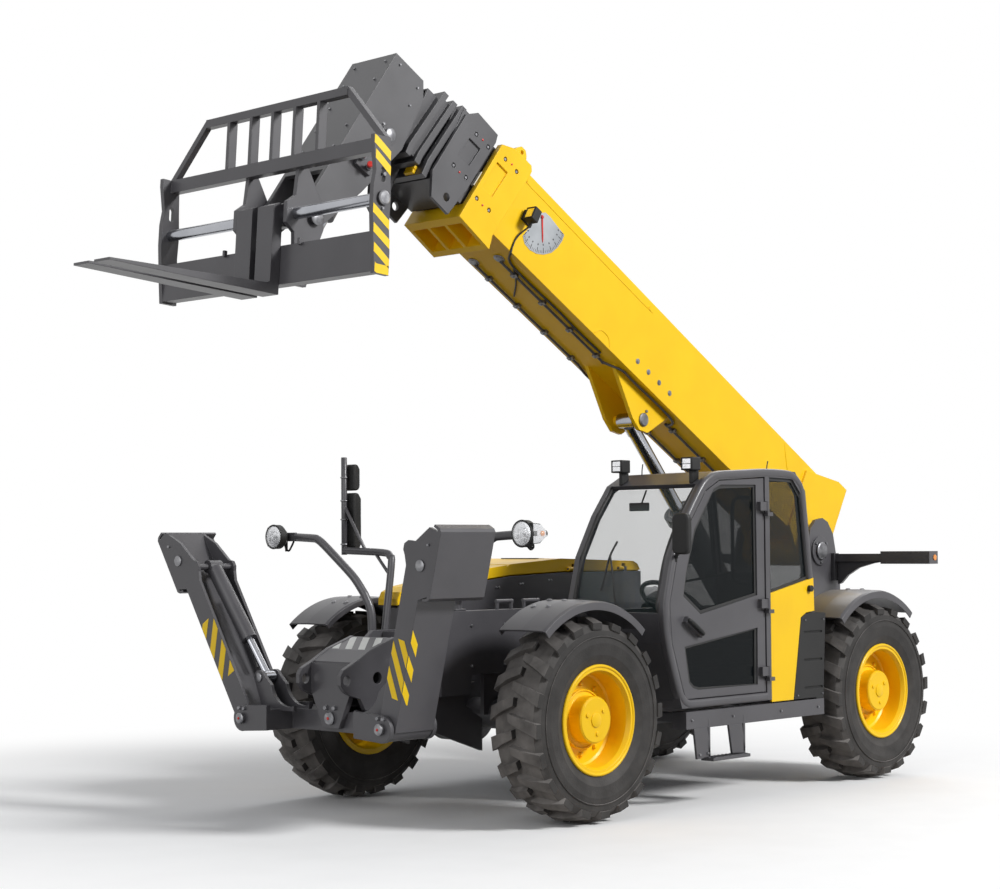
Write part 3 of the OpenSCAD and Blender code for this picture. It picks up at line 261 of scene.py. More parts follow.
class Piece:
    """One shown piece: shapes are collected in frame metres, then turned into an object that rides a body.

    Points for a place function at are in its millimetres. Radii are in metres, apart from those of bolts, caps and
    buttons; n is the number of sides of a round shape."""

    HAIR = 0.0004  # smallest radius of a turned shape

    def __init__(self, name, body, mat):
        self.name, self.body, self.mat = name, body, mat
        self.bm = bmesh.new()

    def hull_box(self, pts):
        v = [self.bm.verts.new(p) for p in pts]
        for f in ((0, 3, 2, 1), (4, 5, 6, 7), (0, 1, 5, 4), (1, 2, 6, 5), (2, 3, 7, 6), (3, 0, 4, 7)):
            self.bm.faces.new([v[i] for i in f])

    def box(self, lo, hi, at=veh):
        (a, b, c), (d, e, f) = lo, hi
        self.hull_box([at(*p) for p in ((a, b, c), (d, b, c), (d, e, c), (a, e, c),
                                        (a, b, f), (d, b, f), (d, e, f), (a, e, f))])

    def side_box(self, s, lo, hi, at=veh):
        """A box given for the left side, for s = 1, or its mirror image on the right, for s = -1."""
        y0, y1 = sorted((s * lo[1], s * hi[1]))
        self.box((lo[0], y0, lo[2]), (hi[0], y1, hi[2]), at)

    def slab(self, first, second):
        """A solid between two outlines with the same number of points."""
        a = [self.bm.verts.new(p) for p in first]
        b = [self.bm.verts.new(p) for p in second]
        self.bm.faces.new(a)
        self.bm.faces.new(b[::-1])
        for i in range(len(a)):
            j = (i + 1) % len(a)
            self.bm.faces.new((a[j], a[i], b[i], b[j]))

    def prism(self, outline, y0, y1, at=veh):
        """An x-z outline drawn from y0 to y1."""
        self.slab([at(x, y0, z) for x, z in outline], [at(x, y1, z) for x, z in outline])

    def loft(self, rings, closed=False):
        """A skin over rings of points, with ends, or closed from the last ring to the first."""
        rows = [[self.bm.verts.new(p) for p in ring] for ring in rings]
        n = len(rows[0])
        for a, b in zip(rows, rows[1:] + rows[:1] if closed else rows[1:]):
            for i in range(n):
                j = (i + 1) % n
                self.bm.faces.new((a[i], a[j], b[j], b[i]))
        if not closed:
            self.bm.faces.new(rows[0][::-1])
            self.bm.faces.new(rows[-1])

    def spin(self, centre, axis, profile, n):
        """A profile of (radius, distance along the axis) turned about the axis."""
        axis, side, other = square_to(axis)
        self.loft([circle(centre + axis * h, side, other, max(r, self.HAIR), n) for r, h in profile])

    def cap(self, at, axis, r, inner, wall, top, n, crown=1):
        """A pin cap in millimetres: a wall, an edge slanting to the inner radius and a low crown."""
        profile = ((r, 0), (r, wall), (inner, top), (0, top + crown))
        self.spin(at, axis, [(a / 1000, h / 1000) for a, h in profile], n)

    def button(self, at, axis, r, inner, n):
        """A small plug in millimetres."""
        self.spin(at, axis, [(r / 1000, 0), (r / 1000, 0.004), (inner / 1000, 0.006)], n)

    def rod(self, a, b, r, n, chamfer=0.0):
        h = (b - a).length
        profile = [(r, 0), (r, h)]
        if chamfer:
            profile = [(r - chamfer, 0), (r, chamfer), (r, h - chamfer), (r - chamfer, h)]
        self.spin(a, b - a, profile, n)

    def bolt(self, at, axis, size):
        """Washer and hexagon head, standing on a face; size is the head's radius in millimetres."""
        axis = Vector(axis).normalized()
        s, sink = size / 1000, 0.001
        self.spin(at - axis * sink, axis, [(s * 1.15, 0), (s * 1.15, sink + s * 0.22)], 20)
        self.spin(at, axis, [(s, s * 0.2), (s, s * 1.0), (s * 0.82, s * 1.2)], 6)

    def ring(self, centre, axis, big, small, n, k):
        """A torus with n sections of k sides."""
        axis, side, other = square_to(axis)
        rings = []
        for i in range(n):
            t = 2 * math.pi * i / n
            out = side * math.cos(t) + other * math.sin(t)
            rings.append([centre + out * (big + small * math.cos(p)) + axis * small * math.sin(p)
                          for p in (2 * math.pi * j / k for j in range(k))])
        self.loft(rings, closed=True)

    def hose(self, points, r, n=10, steps=10, at=veh):
        """A round tube along the curve through points."""
        line = curve([at(*p) for p in points], steps)
        side = (line[1] - line[0]).orthogonal().normalized()
        rings = []
        for i, p in enumerate(line):
            tan = tangent(line, i)
            side = (side - tan * side.dot(tan)).normalized()
            rings.append(circle(p, side, tan.cross(side), r, n))
        self.loft(rings)

    def done(self, bevel=0.0, smooth=35):
        """The object, with edges below smooth degrees shaded round."""
        bmesh.ops.recalc_face_normals(self.bm, faces=self.bm.faces)
        me = bpy.data.meshes.new(self.name)
        self.bm.to_mesh(me)
        self.bm.free()
        ob = placed(self.name, me)
        me.materials.append(self.mat)
        for p in me.polygons:
            p.use_smooth = True
        if bevel:
            b = ob.modifiers.new("edges", "BEVEL")
            b.width = bevel
            b.segments = 2
            b.limit_method = "ANGLE"
            b.angle_limit = math.radians(40)
        me.set_sharp_from_angle(angle=math.radians(smooth))
        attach(ob, self.body)
        return ob


# Wheels: nuts, hub cover, rolled rim lips, sidewall rings and valves
WHEEL_Y, WHEEL_Z = 1000, 625
WHEELS = {"fl": (1575, 1), "fr": (1575, -1), "rl": (-1575, 1), "rr": (-1575, -1)}
NUTS, NUT_CIRCLE = 10, 0.216
PLUGS, PLUG_CIRCLE, HUB_FACE = 3, 0.085, 0.138
# Distance from the wheel's middle, radius, thickness, sections and sides
RIM_RINGS = ((0.162, 0.327, 0.011, 72, 10), (0.150, 0.297, 0.006, 72, 8), (0.132, 0.139, 0.004, 48, 8),
             (0.040, 0.176, 0.006, 48, 8))
for key, (wx, s) in WHEELS.items():
    c, out = veh(wx, s * WHEEL_Y, WHEEL_Z), Y * s
    p = Piece("wheel_trim_" + key, "wheel_" + key, YELLOW)
    for i in range(NUTS):
        p.bolt(c + spoke(2 * math.pi * (i + 0.5) / NUTS) * NUT_CIRCLE + out * 0.013, out, 15)
    for off, big, small, n, k in RIM_RINGS:
        p.ring(c + out * off, out, big, small, n, k)
    for i in range(PLUGS):
        a = c + spoke(2 * math.pi * i / PLUGS + 0.4) * PLUG_CIRCLE
        p.rod(a + out * HUB_FACE, a + out * 0.147, 0.014, 18, 0.002)
    p.cap(c + out * HUB_FACE, out, 45, 38, 6, 9, 32, crown=0)
    p.done()
    p = Piece("sidewall_rings_" + key, "wheel_" + key, RUBBER)
    for side in (1, -1):
        for r, off in ((0.375, 0.171), (0.392, 0.176), (0.505, 0.187)):
            p.ring(c + out * side * off, out, r, 0.004, 96, 6)
    p.done()
    p = Piece("valve_" + key, "wheel_" + key, HOSE)
    p.rod(c + Vector((0.262, 0, 0.1)) + out * 0.02, c + Vector((0.256, 0, 0.098)) + out * 0.085, 0.006, 10)
    p.done()

# Mudguard screws, slotted, on top and towards the machine's end
GUARD_RADIUS = 0.7245
for key, (wx, s) in WHEELS.items():
    c, out = veh(wx, s * WHEEL_Y, WHEEL_Z), Y * s
    p = Piece("guard_screws_" + key, "knuckle_" + key, STEEL)
    for deg in (6, 18):
        for off in (-0.04, -0.16):
            t = math.radians(deg if wx > 0 else -deg)
            n = Vector((math.sin(t), 0, math.cos(t)))
            q = c + n * GUARD_RADIUS + out * off
            p.spin(q - n * 0.002, n, [(0.019, 0), (0.019, 0.005), (0.014, 0.009)], 18)
            p.hull_box([q + n * h + X * dx * 0.017 + Y * dy * 0.0025 for h in (0.0065, 0.0105)
                        for dx, dy in ((-1, -1), (1, -1), (1, 1), (-1, 1))])
    p.done()

# Pin caps and bolts of the V plate, the arms and the boom's pivot
V_FACE, V_PIN_Z = 2700, 650
PIVOT_BOLTS = 86  # radius of their circle
p = Piece("pin_hardware", "chassis", STEEL)
p.cap(veh(V_FACE, 0, V_PIN_Z), X, 40, 34, 14, 22, 32)
for y in (-38, 38):
    p.bolt(veh(V_FACE, y, V_PIN_Z + 62), X, 15)
for s in SIDES:
    p.cap(veh(2885, s * ARM_Y, ARM_Z), X, 34, 28, 12, 18, 28)
    for y, z in ((-22, 62), (24, 60)):
        p.bolt(veh(2875, s * ARM_Y + y, ARM_Z + z), X, 12)
    p.cap(veh(2760, s * 594, 876), X, 30, 24, 8, 12, 24)
    p.cap(veh(PIVOT_X, s * 360, PIVOT_Z), Y * s, 66, 58, 10, 16, 36)
    for a in (40, 140, 270):
        t = math.radians(a)
        p.bolt(veh(PIVOT_X + PIVOT_BOLTS * math.cos(t), s * 355, PIVOT_Z + PIVOT_BOLTS * math.sin(t)), Y * s, 11)
p.done()
p = Piece("grease_caps", "chassis", RED)
p.button(veh(V_FACE + 22, 0, V_PIN_Z), X, 9, 4, 14)
for s in SIDES:
    p.button(veh(2903, s * ARM_Y, ARM_Z), X, 8, 4, 14)
p.done()

# Stripes: bars laid on the arms, the nose and the left carriage plate
ARM_FACE = 2840
STRIPE_PITCH, STRIPE_LIFT = 150, 1.2
SMALLEST_STRIPE = 600  # square millimetres


def clip(poly, keep):
    """The part of a polygon where keep isn't negative."""
    out = []
    for a, b in zip(poly, poly[1:] + poly[:1]):
        ka, kb = keep(a), keep(b)
        if ka >= 0:
            out.append(a)
        if (ka >= 0) != (kb >= 0):
            t = ka / (ka - kb)
            out.append((a[0] + (b[0] - a[0]) * t, a[1] + (b[1] - a[1]) * t))
    return out


def stripes(p, at, lo, hi, z0, z1, slant, shift=0):
    """Slanted bars inside a face from lo to hi across and z0 to z1 along it."""
    rise = (hi - lo) * slant
    z = z0 - abs(rise) + shift - STRIPE_PITCH
    while z < z1 + abs(rise):
        bar = [(lo, z), (hi, z + rise), (hi, z + rise + STRIPE_PITCH / 2), (lo, z + STRIPE_PITCH / 2)]
        bar = clip(clip(bar, lambda q: q[1] - z0), lambda q: z1 - q[1])
        size = abs(sum(a[0] * b[1] - b[0] * a[1] for a, b in zip(bar, bar[1:] + bar[:1]))) / 2
        if size > SMALLEST_STRIPE:
            p.slab([at(a, b, STRIPE_LIFT) for a, b in bar], [at(a, b, 0) for a, b in bar])
        z += STRIPE_PITCH


for side, name, z0, z1, slant in ((1, "left", 190, 535, -1.5), (-1, "right", 305, 710, -1.1)):
    leg = arm(side)
    p = Piece("stripes_" + name, "outrigger_" + name, SIGN)
    stripes(p, lambda a, b, h: leg(a, b, ARM_FACE + h), -52, 82, z0, z1, slant)
    if side > 0:
        stripes(p, lambda a, b, h: leg(85 + h, b, ARM_FACE - a), 2, 60, 165, 613, slant, shift=10)
    p.done()
nose = turned(2560, 1056, -math.atan2(70, 208))
p = Piece("stripes_nose", "chassis", FILM)
stripes(p, lambda a, b, h: nose(-b, a, h), -165, 165, 12, 205, -1.3)
p.done()

# Heights on the carriage plate, each with the places of its two edges
PLATE_EDGES = [(-430, 70, 180), (-300, 70, 195), (-140, 84, 208), (-70, 81, 214), (0, 78, 214), (60, 83, 214),
               (140, 88, 201), (150, 89, 200), (300, 95, 224), (349, 98, 224)]
PLATE_LOW, PLATE_HIGH, PLATE_FACE = -428, 347, 970
BAR_RISE, BAR_TALL, BAR_STEPS = -80, 52, 8


def plate_edge(z):
    for (z0, a0, b0), (z1, a1, b1) in zip(PLATE_EDGES, PLATE_EDGES[1:]):
        if z <= z1:
            t = (z - z0) / (z1 - z0)
            return a0 + (a1 - a0) * t, b0 + (b1 - b0) * t
    return PLATE_EDGES[-1][1:]


def bar_on_plate(p, z):
    """One slanted bar that follows the wavy plate edges."""
    rings = []
    for k in range(BAR_STEPS + 1):
        t = k / BAR_STEPS
        low = max(z + BAR_RISE * t, PLATE_LOW)
        high = min(low + BAR_TALL, PLATE_HIGH)
        a, b = plate_edge(low)
        x = b - 2 + (a + 4 - b) * t
        face = PLATE_FACE + STRIPE_LIFT
        rings.append([car(x, face, low), car(x, face, high), car(x, PLATE_FACE, high), car(x, PLATE_FACE, low)])
    p.loft(rings)


p = Piece("stripes_carriage", "carriage", SIGN)
for z in (-420, -310, -200, 215, 300, -92):
    bar_on_plate(p, z)
p.done()


# Bent lamp and mirror tubes, their brackets, the post's mirrors and the load guard's deep bars
def bent(points, cut=90):
    """The points of a line whose corners are cut short and rounded."""
    pts = [Vector(p) for p in points]
    out = pts[:1]
    for a, b, c in zip(pts, pts[1:], pts[2:]):
        i, o = (a - b).normalized(), (c - b).normalized()
        d = min(cut, 0.45 * (a - b).length, 0.45 * (c - b).length)
        out += [b + i * d, b + (i + o) * d * 0.25, b + o * d]
    return out + pts[-1:]


POST_X, POST_Y = 1800, -850
p = Piece("bent_tubes", "chassis", CHARCOAL)
for path, r in (([(1991, -385, 1040), (1991, -385, 1290), (2030, -485, 1470), (2090, -720, 1690), (2094, -790, 1738),
                  (2080, -1040, 1750)], 0.027),
                ([(1991, 385, 1290), (1991, 385, 1330), (2030, 485, 1480), (2090, 720, 1690), (2094, 790, 1738),
                  (2080, 1040, 1750)], 0.027),
                ([(1905, -370, 1050), (1803, -385, 1640), (POST_X, POST_Y, 1658)], 0.024)):
    p.hose(bent(path), r, 20, 4)
for a, b, r in (((POST_X, POST_Y, 1630), (POST_X, POST_Y, 2280), 0.020),
                ((POST_X, POST_Y, 1960), (POST_X, -640, 1650), 0.011),
                ((POST_X, -560, 1650), (1826, -372, 1480), 0.011)):
    p.rod(veh(*a), veh(*b), r, 20, 0.002)
p.done(smooth=60)
p = Piece("tube_brackets", "chassis", CHARCOAL)
for s in SIDES:
    p.side_box(s, (2085, 1000, 1722), (2105, 1115, 1780))
p.box((1940, -430, 980), (2030, -340, 1090))
p.box((1945, 341, 1282), (2037, 414, 1296))
p.box((1870, -400, 1000), (1941, -340, 1080))
for z in (1850, 2130):
    p.box((1770, POST_Y - 10, z), (POST_X, POST_Y + 10, z + 30))
brackets = p.done(bevel=0.003)
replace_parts(brackets, "lamp_guards")
p = Piece("post_mirrors", "chassis", PLASTIC)
for shell in ([(1776, 1680), (1776, 2034), (1762, 2044), (1735, 2040), (1715, 2010), (1712, 1700), (1725, 1674),
               (1762, 1668)],
              [(1776, 2066), (1776, 2224), (1762, 2234), (1740, 2230), (1722, 2202), (1724, 2080), (1736, 2062),
               (1764, 2056)]):
    p.prism(shell, -897, -777)
p.done(bevel=0.010)
p = Piece("guard_bars", "carriage", CHARCOAL)
for y in (-420, -210, -12, 186, 396):
    p.box((96, y - 1, 350), (158, y + 25, 640), car)
p.done(bevel=0.002)

# Lamps
LAMP_X, LAMP_Y, LAMP_Z = 2195, 1110, 1752
DROP = [(2072, 1769), (2072, 1735), (2120, 1699), (2180, 1694), (2180, 1810), (2120, 1805)]
DROP_X, DROP_FACE = 2132, 1188.5
for s, name in ((-1, "right"), (1, "left")):
    y = s * LAMP_Y
    p = Piece("headlamp_bezel_" + name, "chassis", PLASTIC)
    p.ring(veh(LAMP_X, y, LAMP_Z), X, 0.076, 0.006, 48, 10)
    p.side_box(s, (2092, 1085, 1655), (2106, 1100, 1724))
    p.hose([(2098, s * 1108, 1700), (2090, s * 1106, 1672), (2088, s * 1080, 1660), (2090, s * 1050, 1690),
            (2088, s * 1030, 1722)], 0.007, 8, 6)
    p.done(bevel=0.002)
    p = Piece("headlamp_bowl_" + name, "chassis", REFLECTOR)
    p.spin(veh(LAMP_X + 0.5, y, LAMP_Z), X, [(0.070, 0), (0.066, 0.002), (0.030, 0.0015), (0, 0.001)], 40)
    p.spin(veh(LAMP_X + 1, y + 22, LAMP_Z + 8), X, [(0.026, 0.001), (0.022, 0.007), (0.010, 0.010), (0, 0.010)], 28)
    p.spin(veh(LAMP_X + 1, y - 30, LAMP_Z - 8), X, [(0.020, 0.001), (0.016, 0.006), (0, 0.008)], 28)
    p.prism(DROP, s * 1186, s * DROP_FACE)
    p.done()
    p = Piece("headlamp_glass_" + name, "chassis", CLEAR)
    p.spin(veh(LAMP_X + 1, y, LAMP_Z), X,
           [(0.074, 0), (0.068, 0.010), (0.050, 0.017), (0.025, 0.021), (0, 0.022)], 40)
    p.loft([[veh(DROP_X + (a - DROP_X) * t, s * (DROP_FACE + w), LAMP_Z + (b - LAMP_Z) * t) for a, b in DROP]
            for t, w in ((1.0, 0), (0.93, 10), (0.75, 16), (0.4, 20))])
    p.done(smooth=60)
    p = Piece("indicator_" + name, "chassis", AMBER)
    p.spin(veh(2102, s * 1188, LAMP_Z), Y * s, [(0.016, 0), (0.015, 0.006), (0.008, 0.011), (0, 0.012)], 20)
    p.done()
GUSSET = [(372, 1546), (790, 1546), (690, 1532), (560, 1498), (460, 1440), (400, 1380), (372, 1370)]
p = Piece("lamp_arm_gussets", "chassis", CHARCOAL)
for s in SIDES:
    p.loft([[veh(x, s * a, b) for a, b in GUSSET] for x in (-2262, -2230)])
p.done(bevel=0.003)
p = Piece("tail_lenses", "chassis", TAIL)
q = Piece("tail_markers", "chassis", AMBER)
for s in SIDES:
    for lens, y0, y1 in ((p, 820, 980), (q, 1000, 1160)):
        lens.side_box(s, (-2316, y0, 1540), (-2309, y1, 1610))
    q.rod(veh(-2265, s * 1199, 1575), veh(-2265, s * 1206, 1575), 0.022, 20, 0.002)
p.done(bevel=0.003)
q.done(bevel=0.003)
WORK_LIGHTS = (412, 1000)
p = Piece("work_light_faces", "chassis", REFLECTOR)
q = Piece("work_light_frames", "chassis", PLASTIC)
for y in WORK_LIGHTS:
    p.box((530, y + 10, 2175), (533, y + 80, 2240))
    for lo, hi in (((531, y + 2, 2167), (537, y + 88, 2176)), ((531, y + 2, 2240), (537, y + 88, 2248)),
                   ((531.5, y + 2.5, 2175), (536.5, y + 11, 2241)), ((531.5, y + 79, 2175), (536.5, y + 87.5, 2241)),
                   ((531, y + 10, 2205), (535, y + 80, 2209))):
        q.box(lo, hi)
    for k in range(4):
        q.box((437, y + 14 + 18 * k, 2175), (441, y + 20 + 18 * k, 2240))
p.done()
q.done(bevel=0.0015)
p = Piece("boom_lamp_face", "boom", REFLECTOR)
p.box((3895, 248, 290), (3898, 312, 364), boom)
p.done()
p = Piece("boom_lamp_frame", "boom", PLASTIC)
for lo, hi in (((3896, 241, 283), (3902, 319, 291)), ((3896, 241, 363), (3902, 319, 371)),
               ((3896.5, 241.5, 290), (3901.5, 249, 364)), ((3896.5, 311, 290), (3901.5, 318.5, 364))):
    p.box(lo, hi, boom)
p.hose([(3850, 280, 284), (3850, 262, 240), (3862, 232, 190), (3872, 218, 130), (3870, 217, 60)], 0.006, at=boom)
p.done(bevel=0.002)


# Mirror glass, door side mirror, roof light housings and the post's clamps
def rounded(lo, hi, r):
    """Outline of a rectangle with round corners."""
    out = []
    for k in range(4):
        cx = hi[0] - r if k in (0, 3) else lo[0] + r
        cy = hi[1] - r if k in (0, 1) else lo[1] + r
        turns = [(k + t / 6) * math.pi / 2 for t in range(7)]
        out += [(cx + r * math.cos(t), cy + r * math.sin(t)) for t in turns]
    return out


p = Piece("mirror_faces", "chassis", MIRROR)
p.box((1709, -890, 1705), (1716, -784, 2005))
p.box((1719, -890, 2086), (1726, -784, 2196))
p.prism(rounded((1188, 1630), (1302, 1870), 34), 822, 826, across)
p.done()
p = Piece("door_mirror", "chassis", PLASTIC)
p.prism(rounded((1180, 1620), (1310, 1880), 40), 825, 870, across)
p.done(bevel=0.010)
p = Piece("cab_light_housings", "chassis", PLASTIC)
for y in WORK_LIGHTS:
    p.prism([(490, 2078.9), (420, 2112.1), (420, 2173), (490, 2173)], y + 30, y + 60)
    p.box((440, y, 2165), (530, y + 90, 2250))
p.box((785, 1150, 1572), (803, 1162, 1628))
p.rod(veh(798, 1160, 1603), veh(845, 1220, 1650), 0.012, 16)
housings = p.done(bevel=0.005)
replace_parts(housings, "cab_lights")
p = Piece("mirror_clamps", "chassis", STEEL)
for z in (1700, 1865, 1990, 2145):
    p.ring(veh(POST_X, POST_Y, z), UP, 0.021, 0.006, 28, 8)
p.done()

# Boom: angle dial with ticks and pointer
ARC = [(3819, 204), (3779, 169), (3720, 163), (3651, 181), (3592, 216), (3533, 274), (3501, 338), (3483, 408),
       (3486, 456)]
HUB, TIP = Vector((3727, 425)), Vector((3639, 279))
TICKS = 4  # between two points of the arc
FLANK = 210  # the base section's side
p = Piece("dial", "boom", SILVER)
p.prism(ARC + [(3573, 466), (3670, 478), (3714, 474), (3758, 436), (3778, 348)], FLANK, FLANK + 2.5, boom)
p.done(bevel=0.001)
p = Piece("dial_marks", "boom", INK)
for k in range(TICKS * (len(ARC) - 1) + 1):
    i = min(k // TICKS, len(ARC) - 2)
    a = Vector(ARC[i]).lerp(Vector(ARC[i + 1]), k / TICKS - i)
    v = (a - HUB).normalized()
    long = k % TICKS == 0
    n = Vector((-v.y, v.x)) * (2.2 if long else 1.2)
    lo, hi = a - v * (46 if long else 26), a - v * 9
    p.prism([lo - n, lo + n, hi + n, hi - n], FLANK + 2, FLANK + 3.4, boom)
    if long:
        c, n, v = a - v * 66, n * 2, v * 6
        p.prism([c - n - v, c + n - v, c + n + v, c - n + v], FLANK + 2, FLANK + 3.2, boom)
p.done()
p = Piece("dial_pointer", "boom", RED)
v = (TIP - HUB).normalized()
n = Vector((-v.y, v.x))
p.prism([HUB - n * 8 - v * 14, HUB + n * 8 - v * 14, TIP + n * 5 - v * 20, TIP, TIP - n * 5 - v * 20],
        FLANK + 3, FLANK + 6, boom)
p.rod(boom(HUB.x, FLANK, HUB.y), boom(HUB.x, FLANK + 12, HUB.y), 0.011, 20, 0.002)
p.done()

# Boom: screws, pin caps, marks, nylon pads, pipes and hose under the base section, weld seams
COLLAR_FACE = 235
LIFT_U, LIFT_V = 2090, -126  # the lift cylinder's pin
p = Piece("collar_screws", "boom", STEEL)
for s in SIDES:
    for u, v in ((4232, 513), (4106, 508), (4324, 126), (4195, 128)):
        p.bolt(boom(u, s * COLLAR_FACE, v), Y * s, 11)
    for i in range(4):
        p.spin(boom(2417 - 137 * i, s * FLANK, 146), Y * s,
               [(0.020, 0), (0.020, 0.003), (0.012, 0.004), (0.012, 0.008), (0, 0.008)], 20)
    p.cap(boom(LIFT_U, s * 135, LIFT_V), Y * s, 48, 40, 10, 16, 32)
    p.bolt(boom(LIFT_U, s * 135, LIFT_V + 70), Y * s, 10)
p.done()
p = Piece("collar_marks", "boom", RED)
for s in SIDES:
    for u, v in ((4168, 520), (4262, 118)):
        p.button(boom(u, s * 250, v), Y * s, 7, 3, 12)
p.done()
p = Piece("collar_pads", "boom", NYLON)
for s in SIDES:
    p.prism([(4322, 330), (4346, 330), (4366, 210), (4340, 210)], s * 188, s * 216, boom)
p.done(bevel=0.002)
PIPES, PIPE_V = (-160, 70), 31
p = Piece("boom_pipes", "boom", GREY)
for y in PIPES:
    out = y + (90 if y > 0 else -20)  # round the lift cylinder's bracket
    flat = [(3700, y), (2680, y), (2600, y), (2480, out), (2350, out), (1850, out), (1760, y), (1700, y), (700, y)]
    p.hose([(3810, y, 42), (3770, y, 33), *[(u, w, PIPE_V) for u, w in flat], (600, y, 34), (560, y, 42)],
           0.009, 10, 6, boom)
p.done()
p = Piece("pipe_clips", "boom", STEEL)
for u in (3640, 3320, 3000, 2680, 1700, 1300, 900):
    for y in PIPES:
        p.box((u - 14, y - 26, 19), (u + 14, y + 26, 45), boom)
        p.bolt(boom(u, y, 19), boom(u, y, 18) - boom(u, y, 19), 8)
for y in PIPES:
    p.spin(boom(3815, y, 45), boom(0, 0, -1) - boom(0, 0, 0),
           [(0.040, 0), (0.040, 0.006), (0.026, 0.008), (0.026, 0.014)], 24)
p.done(bevel=0.002)
p = Piece("boom_hose", "boom", HOSE)
p.hose([(3870, 216, 60), (3855, 205, 38), (3800, 150, 34), (3700, 120, 36), (3480, 118, 35), (3200, 124, 36),
        (2950, 118, 35), (2700, 122, 36)], 0.008, 10, 8, boom)
p.hose([(3700, 112, 36), (3560, 20, 34), (3420, -110, 36)], 0.006, 8, 8, boom)
p.done()
p = Piece("boom_seams", "boom", YELLOW)
for s in SIDES:
    for seam, r in (([(3985, 575), (3955, 545), (3900, 535), (2560, 535), (2500, 548), (2480, 575)], 0.003),
                    ([(2900, 60), (2870, 100), (2830, 118), (2760, 110), (2720, 60)], 0.004),
                    ([(620, 590), (600, 540), (420, 300), (400, 60)], 0.004)):
        p.hose([(u, s * FLANK, v) for u, v in seam], r, 8, 6, boom)
p.done()

# Second section: screws, marks and pad keepers
p = Piece("plate_screws", "boom_second", STEEL)
q = Piece("plate_marks", "boom_second", RED)
for s in SIDES:
    for u, v in ((4523, 489), (4396, 486), (4593, 186), (4464, 187)):
        p.bolt(boom(u, s * 230, v), Y * s, 11)
    for u, v in ((4460, 494), (4530, 180)):
        q.button(boom(u, s * 242, v), Y * s, 7, 3, 12)
p.done()
q.done()
p = Piece("pad_keepers", "boom_second", YELLOW)
for v in (-10, 20):
    for s in SIDES:
        p.side_box(s, (4776, 70, v), (4800, 150, v + 26), boom)
p.done(bevel=0.003)

# Head: cover screws, pin caps, quick couplers, hoses and roller
HEAD_FLANK = 200
(u0, v0), (u1, v1) = (5310, 514), (5420, -470)  # the front cover's top and foot
front = boom(u0, 0, v0) - boom(u1, 0, v1)
normal = Vector((front.z, 0, -front.x)).normalized()
p = Piece("head_screws", "boom_head", STEEL)
for y in (-140, 140):
    for t in (0.06, 0.22, 0.42, 0.62, 0.80):
        p.bolt(boom(u0 + (u1 - u0) * t, y, v0 + (v1 - v0) * t), normal, 8)
for s in SIDES:
    p.cap(boom(5116, s * 222, 20), Y * s, 42, 34, 8, 13, 28)
    for u, v in ((5180, 60), (5160, -40)):
        p.bolt(boom(u, s * HEAD_FLANK, v), Y * s, 9)
    p.cap(boom(5377, s * 262, -810), Y * s, 46, 38, 8, 13, 28)
    for u, v in ((5060, 440), (5250, 470), (5060, 300)):
        p.bolt(boom(u, s * HEAD_FLANK, v), Y * s, 8)
p.done()
p = Piece("coupler_block", "boom_head", CHARCOAL)
p.box((5130, HEAD_FLANK, -310), (5260, 226, -230), boom)
p.done(bevel=0.003)
COUPLERS = ((5234, -250), (5160, -272))
p = Piece("couplers", "boom_head", STEEL)
q = Piece("coupler_caps", "boom_head", RED)
for u, v in COUPLERS:
    p.rod(boom(u, 226, v), boom(u + 30, 266, v - 6), 0.016, 18, 0.003)
    p.rod(boom(u + 8, 240, v - 1), boom(u + 14, 248, v - 2), 0.021, 18, 0.002)
    q.rod(boom(u + 30, 266, v - 6), boom(u + 44, 284, v - 9), 0.019, 18, 0.003)
p.done()
q.done()
p = Piece("head_hoses", "boom_head", HOSE)
for y in (120, 92, -92, -120):
    p.hose([(5012, y, 20), (5030, y, -60), (5080, y * 1.02, -140), (5150, y * 1.05, -190), (5205, y, -300)],
           0.013, 10, 8, boom)
for u, v in COUPLERS:
    p.hose([(u, HEAD_FLANK, v + 4), (u - 6, 188, v + 40), (u - 40, 160, v + 90), (u - 70, 150, v + 110)],
           0.010, 10, 8, boom)
p.done()
p = Piece("head_roller", "boom_head", STEEL)
p.rod(boom(4945, -60, 452), boom(4945, 60, 452), 0.030, 24, 0.004)
p.done()

# Carriage: polished fork bar between the plates and forks, pin caps, a lock pin and the forks' stops
FORK_BAR_X = 141
p = Piece("bar_skin", "carriage", CHROME)
for a, b in ((-939, -243), (-211, -167), (-23, 23), (167, 211), (243, 939)):
    p.rod(car(FORK_BAR_X, a, 0), car(FORK_BAR_X, b, 0), 0.0356, 32)
p.done()
p = Piece("carriage_pins", "carriage", STEEL)
for s in SIDES:
    p.cap(car(FORK_BAR_X, s * 980, 0), Y * s, 42, 34, 6, 12, 28)
    p.bolt(car(FORK_BAR_X, s * PLATE_FACE, -60), Y * s, 9)
    p.cap(car(-60, s * 95, -310), Y * s, 30, 24, 6, 10, 24)
p.rod(car(145, 940, 133), car(145, 985, 133), 0.012, 16, 0.002)
p.done()
p = Piece("fork_stops", "carriage", CHARCOAL)
for s in SIDES:
    p.side_box(s, (176, 330, -205), (200, 350, -165), car)
p.done(bevel=0.003)

# Lift cylinder: gland ring and the pipe along its barrel
foot, eye = veh(-1600, 0, 950), boom(LIFT_U, 0, LIFT_V)
along = (eye - foot).normalized()
off = Vector((-along.z, 0, along.x))
p = Piece("lift_gland", "lift_barrel", STEEL)
p.ring(foot + along * 1.31, along, 0.075, 0.008, 40, 8)
p.rod(foot + along * 0.25 + off * 0.118, foot + along * 1.22 + off * 0.118, 0.012, 14)
p.done()

